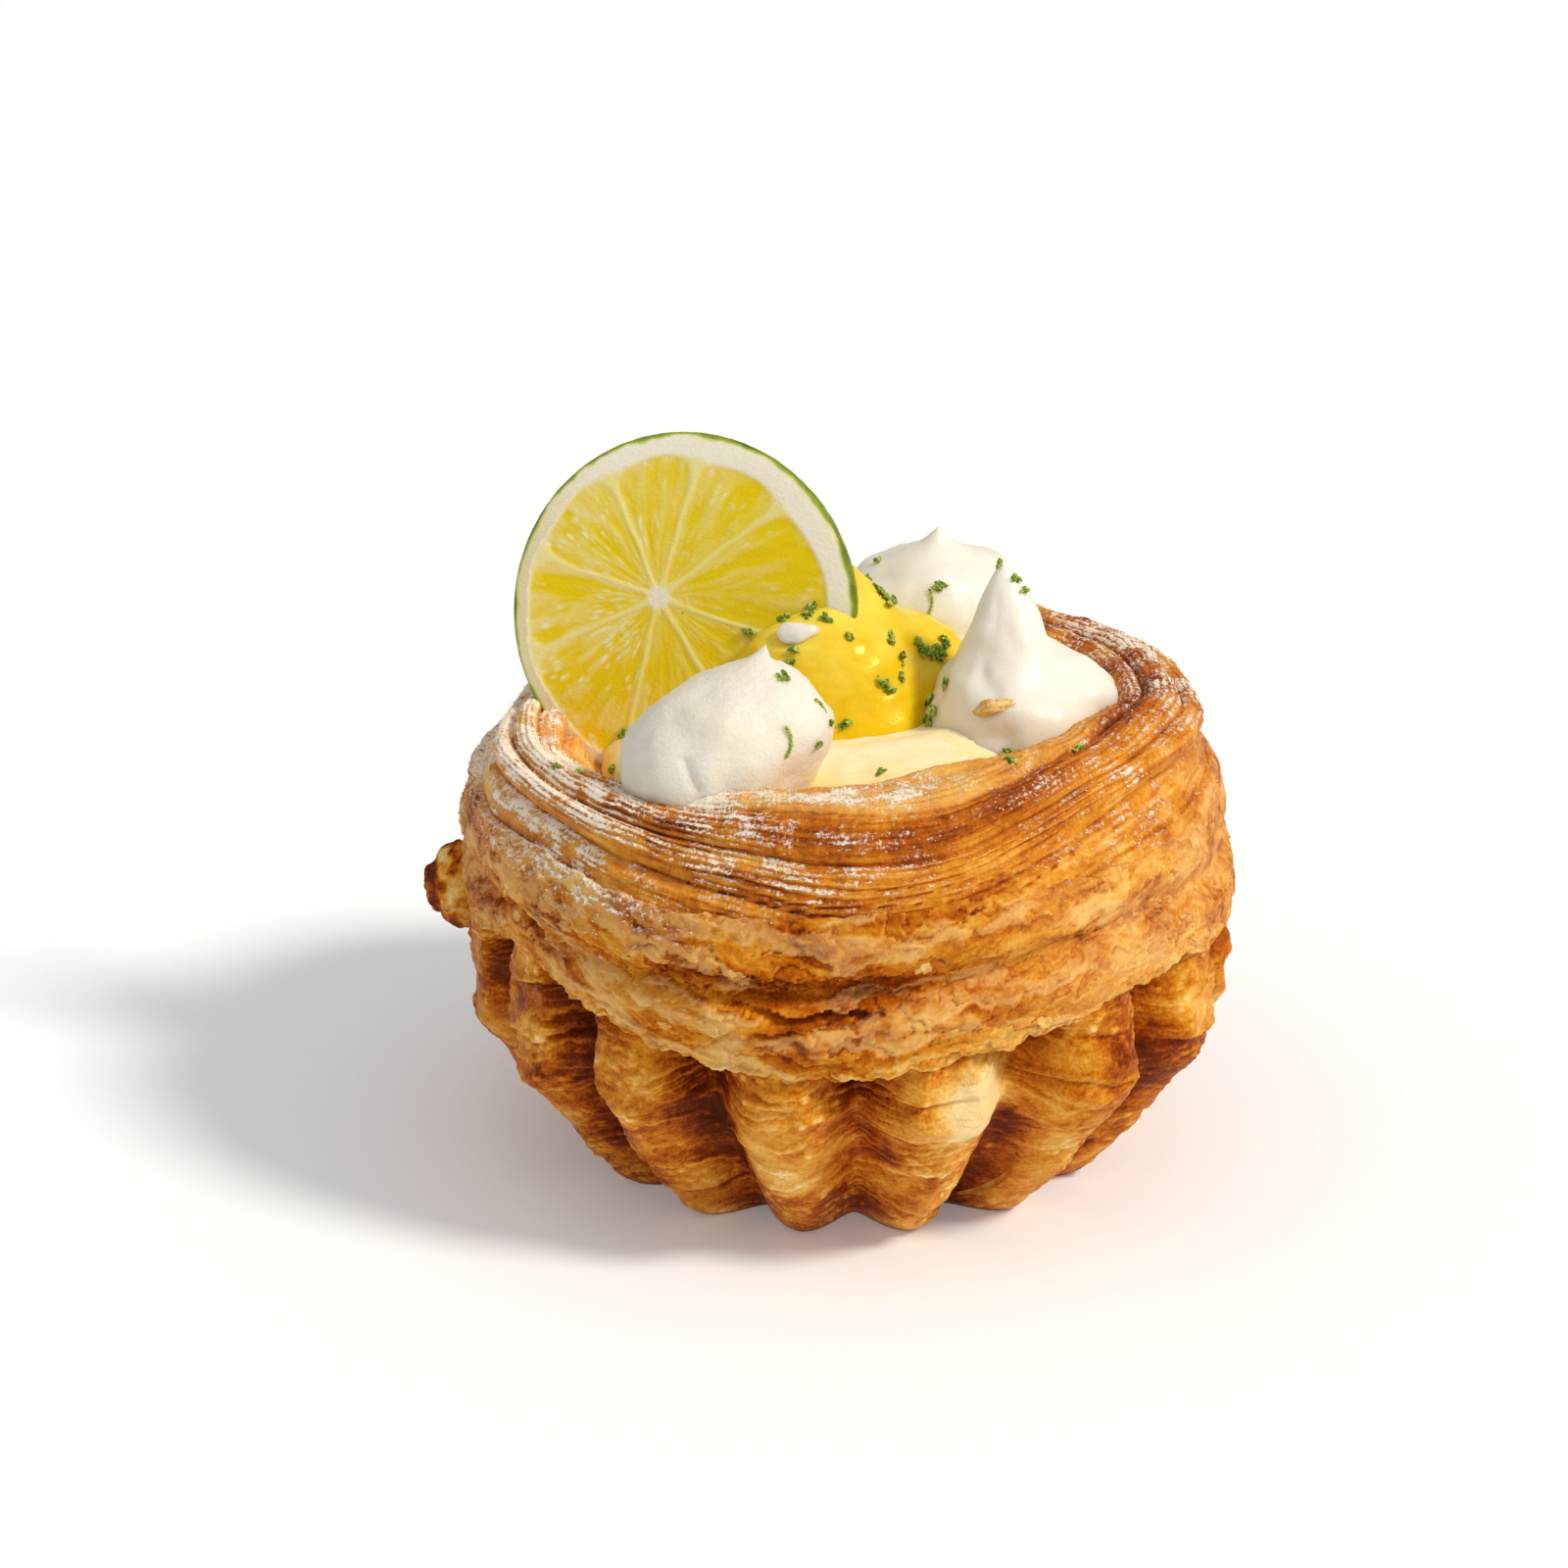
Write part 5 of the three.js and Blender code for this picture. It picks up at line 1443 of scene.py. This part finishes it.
def makeZest():
    made = zestForm
    draw = np.random.default_rng(made["seed"] + 1)
    ball, ballFaces = roughBall(2)
    points, tones = [], []

    def addCrumb(middle, half, spin, tone):
        crumple = layeredNoise(ball * 1.5 + 7.7 * len(points), 3, 350)
        crumb = ball * (1 + 1.5 * made["crumple"] * crumple)[:, None] * half
        points.append((crumb @ spinAbout(spin).T + middle) @ axes + point)
        tones.extend(np.clip(tone + 0.9 * crumple, 0, 1).tolist())
    for (point, normal, _), length, width, spin, crumbs in zestPlaces():
        axes = frameOf(normal[None], np.array([spin]))[0]
        for _ in range(crumbs):
            size = draw.uniform(*made["crumbSize"])
            turn, reach = draw.uniform(0, fullTurn), draw.random() ** 0.7
            middle = polar(reach, turn, draw.uniform(0.3, 1.2) * size) * (length, width, 1)
            half = np.array((draw.uniform(1.0, 2.0), 1, 0.8)) * size
            addCrumb(middle, half, draw.uniform(0, fullTurn), draw.uniform(0.2, 0.75))
        for share in np.linspace(-1, 1, 9 if crumbs == 0 else 0):  # a shred is a bent row of crumbs
            middle = np.array((length * share, 0.35 * length * share ** 2, width * 0.6))
            addCrumb(middle, np.array((length / 5, width, width)), 0.6 * share, draw.uniform(0.5, 0.8))
    faces = repeatFaces(ballFaces, len(ball), len(points))
    finish, tree = newFinish("limeZest")
    place = millimetres(tree)
    speckle = noiseAt(tree, place, 2.6, 4.0)
    share = plus(tree, mask(tree, "tone"), times(tree, minus(tree, speckle, 0.5), 1.2), True)
    stops = ((0.1, made["dark"]), (0.55, made["mid"]), (1.0, made["pale"]))
    colour = ramp(tree, share, [(place, shade(*tone)) for place, tone in stops])
    surface(tree, {"Base Color": colour, "Roughness": plus(tree, 0.3, times(tree, speckle, 0.4)),
                   "Normal": bumped(tree, speckle, 0.0002), "Subsurface Weight": 0.2,
                   "Subsurface Radius": (0.6, 1.0, 0.2), "Subsurface Scale": 0.0006})
    addPiece("lime_zest", np.concatenate(points), faces, finish, (), dict(tone=tones))


makeZest()
print("zest strewn")


# A strip of dough peeled off a flute: it lies on along one edge and curls away along the other
peeledStrip = dict(pixels=((1037, 1176), (1031, 1190), (1016, 1202), (996, 1211), (976, 1216)),
                   width=(0.4, 1.0, 0.5), curl=0.9, thick=0.25, steps=60, across=9, bake=0.48)


def makePeeledStrip():
    made = peeledStrip
    cup = BVHTree.FromObject(bpy.data.objects["fluted_cup"], bpy.context.evaluated_depsgraph_get())
    rays = [pixelRay(*pixel) for pixel in made["pixels"]]
    hits = [cup.ray_cast(start * 0.001, way) for start, way in rays]
    middle = splineRows(np.array([np.array(hit[0]) * 1000 for hit in hits]), made["steps"])
    out = splineRows(np.array([np.array(hit[1]) for hit in hits]), made["steps"])
    out /= np.linalg.norm(out, axis=1, keepdims=True)
    run = np.gradient(middle, axis=0)
    aside = np.cross(out, run / np.linalg.norm(run, axis=1, keepdims=True))
    width = splineRows(np.array(made["width"])[:, None], made["steps"])[:, 0]
    share = np.linspace(0, 1, made["across"])[:, None]
    ragged = 1 + 0.5 * layeredNoise(np.arange(made["steps"])[:, None] * (1 / 7, 0, 0), 3, 380)
    sheet = middle + aside * (share * 0.8 * width * ragged)[..., None]
    loose = np.sin(np.linspace(0.15, 1, made["steps"]) * math.pi)
    sheet = sheet + out * (0.1 + made["curl"] * share ** 2 * loose)[..., None]
    points = np.stack([sheet, sheet - out * made["thick"]])
    index = np.arange(2 * made["across"] * made["steps"]).reshape(2, made["across"], made["steps"])
    loop = np.concatenate([index[0], index[1][::-1]])
    beside = np.roll(loop, -1, 0)
    faces = np.stack([loop[:, :-1], loop[:, 1:], beside[:, 1:], beside[:, :-1]], -1).reshape(-1, 4).tolist()
    faces += [loop[:, 0].tolist(), loop[::-1, -1].tolist()]
    bake = made["bake"] - 0.1 * share + 0.2 * layeredNoise(sheet / 2, 3, 384)
    masks = dict(bake=np.stack([bake, bake]), sugar=np.zeros(index.size), film=np.zeros(index.size),
                 layer=np.stack([share * 3 + 0 * width] * 2))
    addPiece("peeled_strip", points, faces, cupFinish, (), masks)


makePeeledStrip()


# A dab of meringue on the curd and a golden flake stuck to a kiss
dab = dict(pixel=(814, 648), half=(2.9, 1.5, 0.9), spin=0.2, lump=0.1, lift=0.4, tone=0.1)
goldFlake = dict(pixel=(1015, 722), half=(2.7, 1.0, 0.3), spin=0.45, crumple=0.35, lift=0.15, bake=0.06)


def stuckOn(made, bit):  # a bit turned to lie on what its pixel shows
    point, normal, _ = firstHit(*pixelRay(*made["pixel"]))
    return bit @ frameOf(normal[None], np.array([made["spin"]]))[0] + point + normal * made["lift"]


def makeDab():
    made = dab
    ball, ballFaces = roughBall(5)
    bit = ball * (1 + made["lump"] * layeredNoise(ball * 1.3, 3, 360))[:, None] * made["half"]
    share = bit[:, 0] / made["half"][0]
    bit[:, 1] = bit[:, 1] * (1 - 0.35 * share) + 0.5 * share ** 2
    masks = dict(depth=np.full(len(bit), made["tone"]))
    addPiece("meringue_dab", stuckOn(made, bit), ballFaces, meringueFinishes["satin"], (),
             masks)


def makeGoldFlake():
    made = goldFlake
    ball, ballFaces = roughBall(4)
    crumple = layeredNoise(ball * 1.7, 3, 370)
    bit = ball * (1 + made["crumple"] * crumple)[:, None] * made["half"]
    bit[:, 2] += 0.3 * np.cos(bit[:, 0] * 1.1) + 0.25 * crumple
    bit[:, 1] *= 1 - 0.25 * bit[:, 0] / made["half"][0]
    masks = dict(bake=made["bake"] + 0.2 * crumple, sugar=np.zeros(len(bit)), layer=bit[:, 1] * 2)
    addPiece("gold_flake", stuckOn(made, bit), ballFaces, cupFinish, (), masks)


makeDab()
makeGoldFlake()


# Plain pale floor and soft studio light: a key from the upper right, a wide top light and a pale sky
studio = dict(floorSize=24.0, floorTone=(240, 246, 255), floorGlow=0.16, sky=(255, 250, 240),
              skyStrength=0.32)
lamps = {
    "key": dict(turn=67, rise=44, softness=12, strength=2.35, tone=(255, 245, 228)),
    "top": dict(turn=-20, rise=78, softness=70, strength=0.55, tone=(255, 252, 248)),
}


def makeStudio():
    half = studio["floorSize"] / 2
    mesh = bpy.data.meshes.new("floor")
    corners = [(-half, -half, 0), (half, -half, 0), (half, half, 0), (-half, half, 0)]
    mesh.from_pydata(corners, [], [(0, 1, 2, 3)])
    finish, tree = newFinish("paleFloor")
    surface(tree, {"Base Color": shade(*studio["floorTone"]), "Roughness": 0.8,
                   "Emission Color": (1.0, 1.0, 1.0, 1.0), "Emission Strength": studio["floorGlow"]})
    mesh.materials.append(finish)
    floor = bpy.data.objects.new("floor", mesh)
    bpy.context.scene.collection.objects.link(floor)
    for name, made in lamps.items():
        light = bpy.data.lights.new(name, "SUN")
        light.angle = math.radians(made["softness"])
        light.energy = made["strength"]
        light.color = shade(*made["tone"])[:3]
        holder = bpy.data.objects.new(name, light)
        bpy.context.scene.collection.objects.link(holder)
        turn, rise = math.radians(made["turn"]), math.radians(made["rise"])
        way = Vector((math.sin(turn) * math.cos(rise), -math.cos(turn) * math.cos(rise), math.sin(rise)))
        holder.location = way
        holder.rotation_euler = (-way).to_track_quat("-Z", "Y").to_euler()
    world = bpy.data.worlds.new("studioSky")
    world.use_nodes = True
    sky = world.node_tree.nodes["Background"]
    sky.inputs["Color"].default_value = shade(*studio["sky"])
    sky.inputs["Strength"].default_value = studio["skyStrength"]
    bpy.context.scene.world = world
    bpy.context.scene.view_settings.view_transform = "Standard"


makeStudio()
print("studio lit")
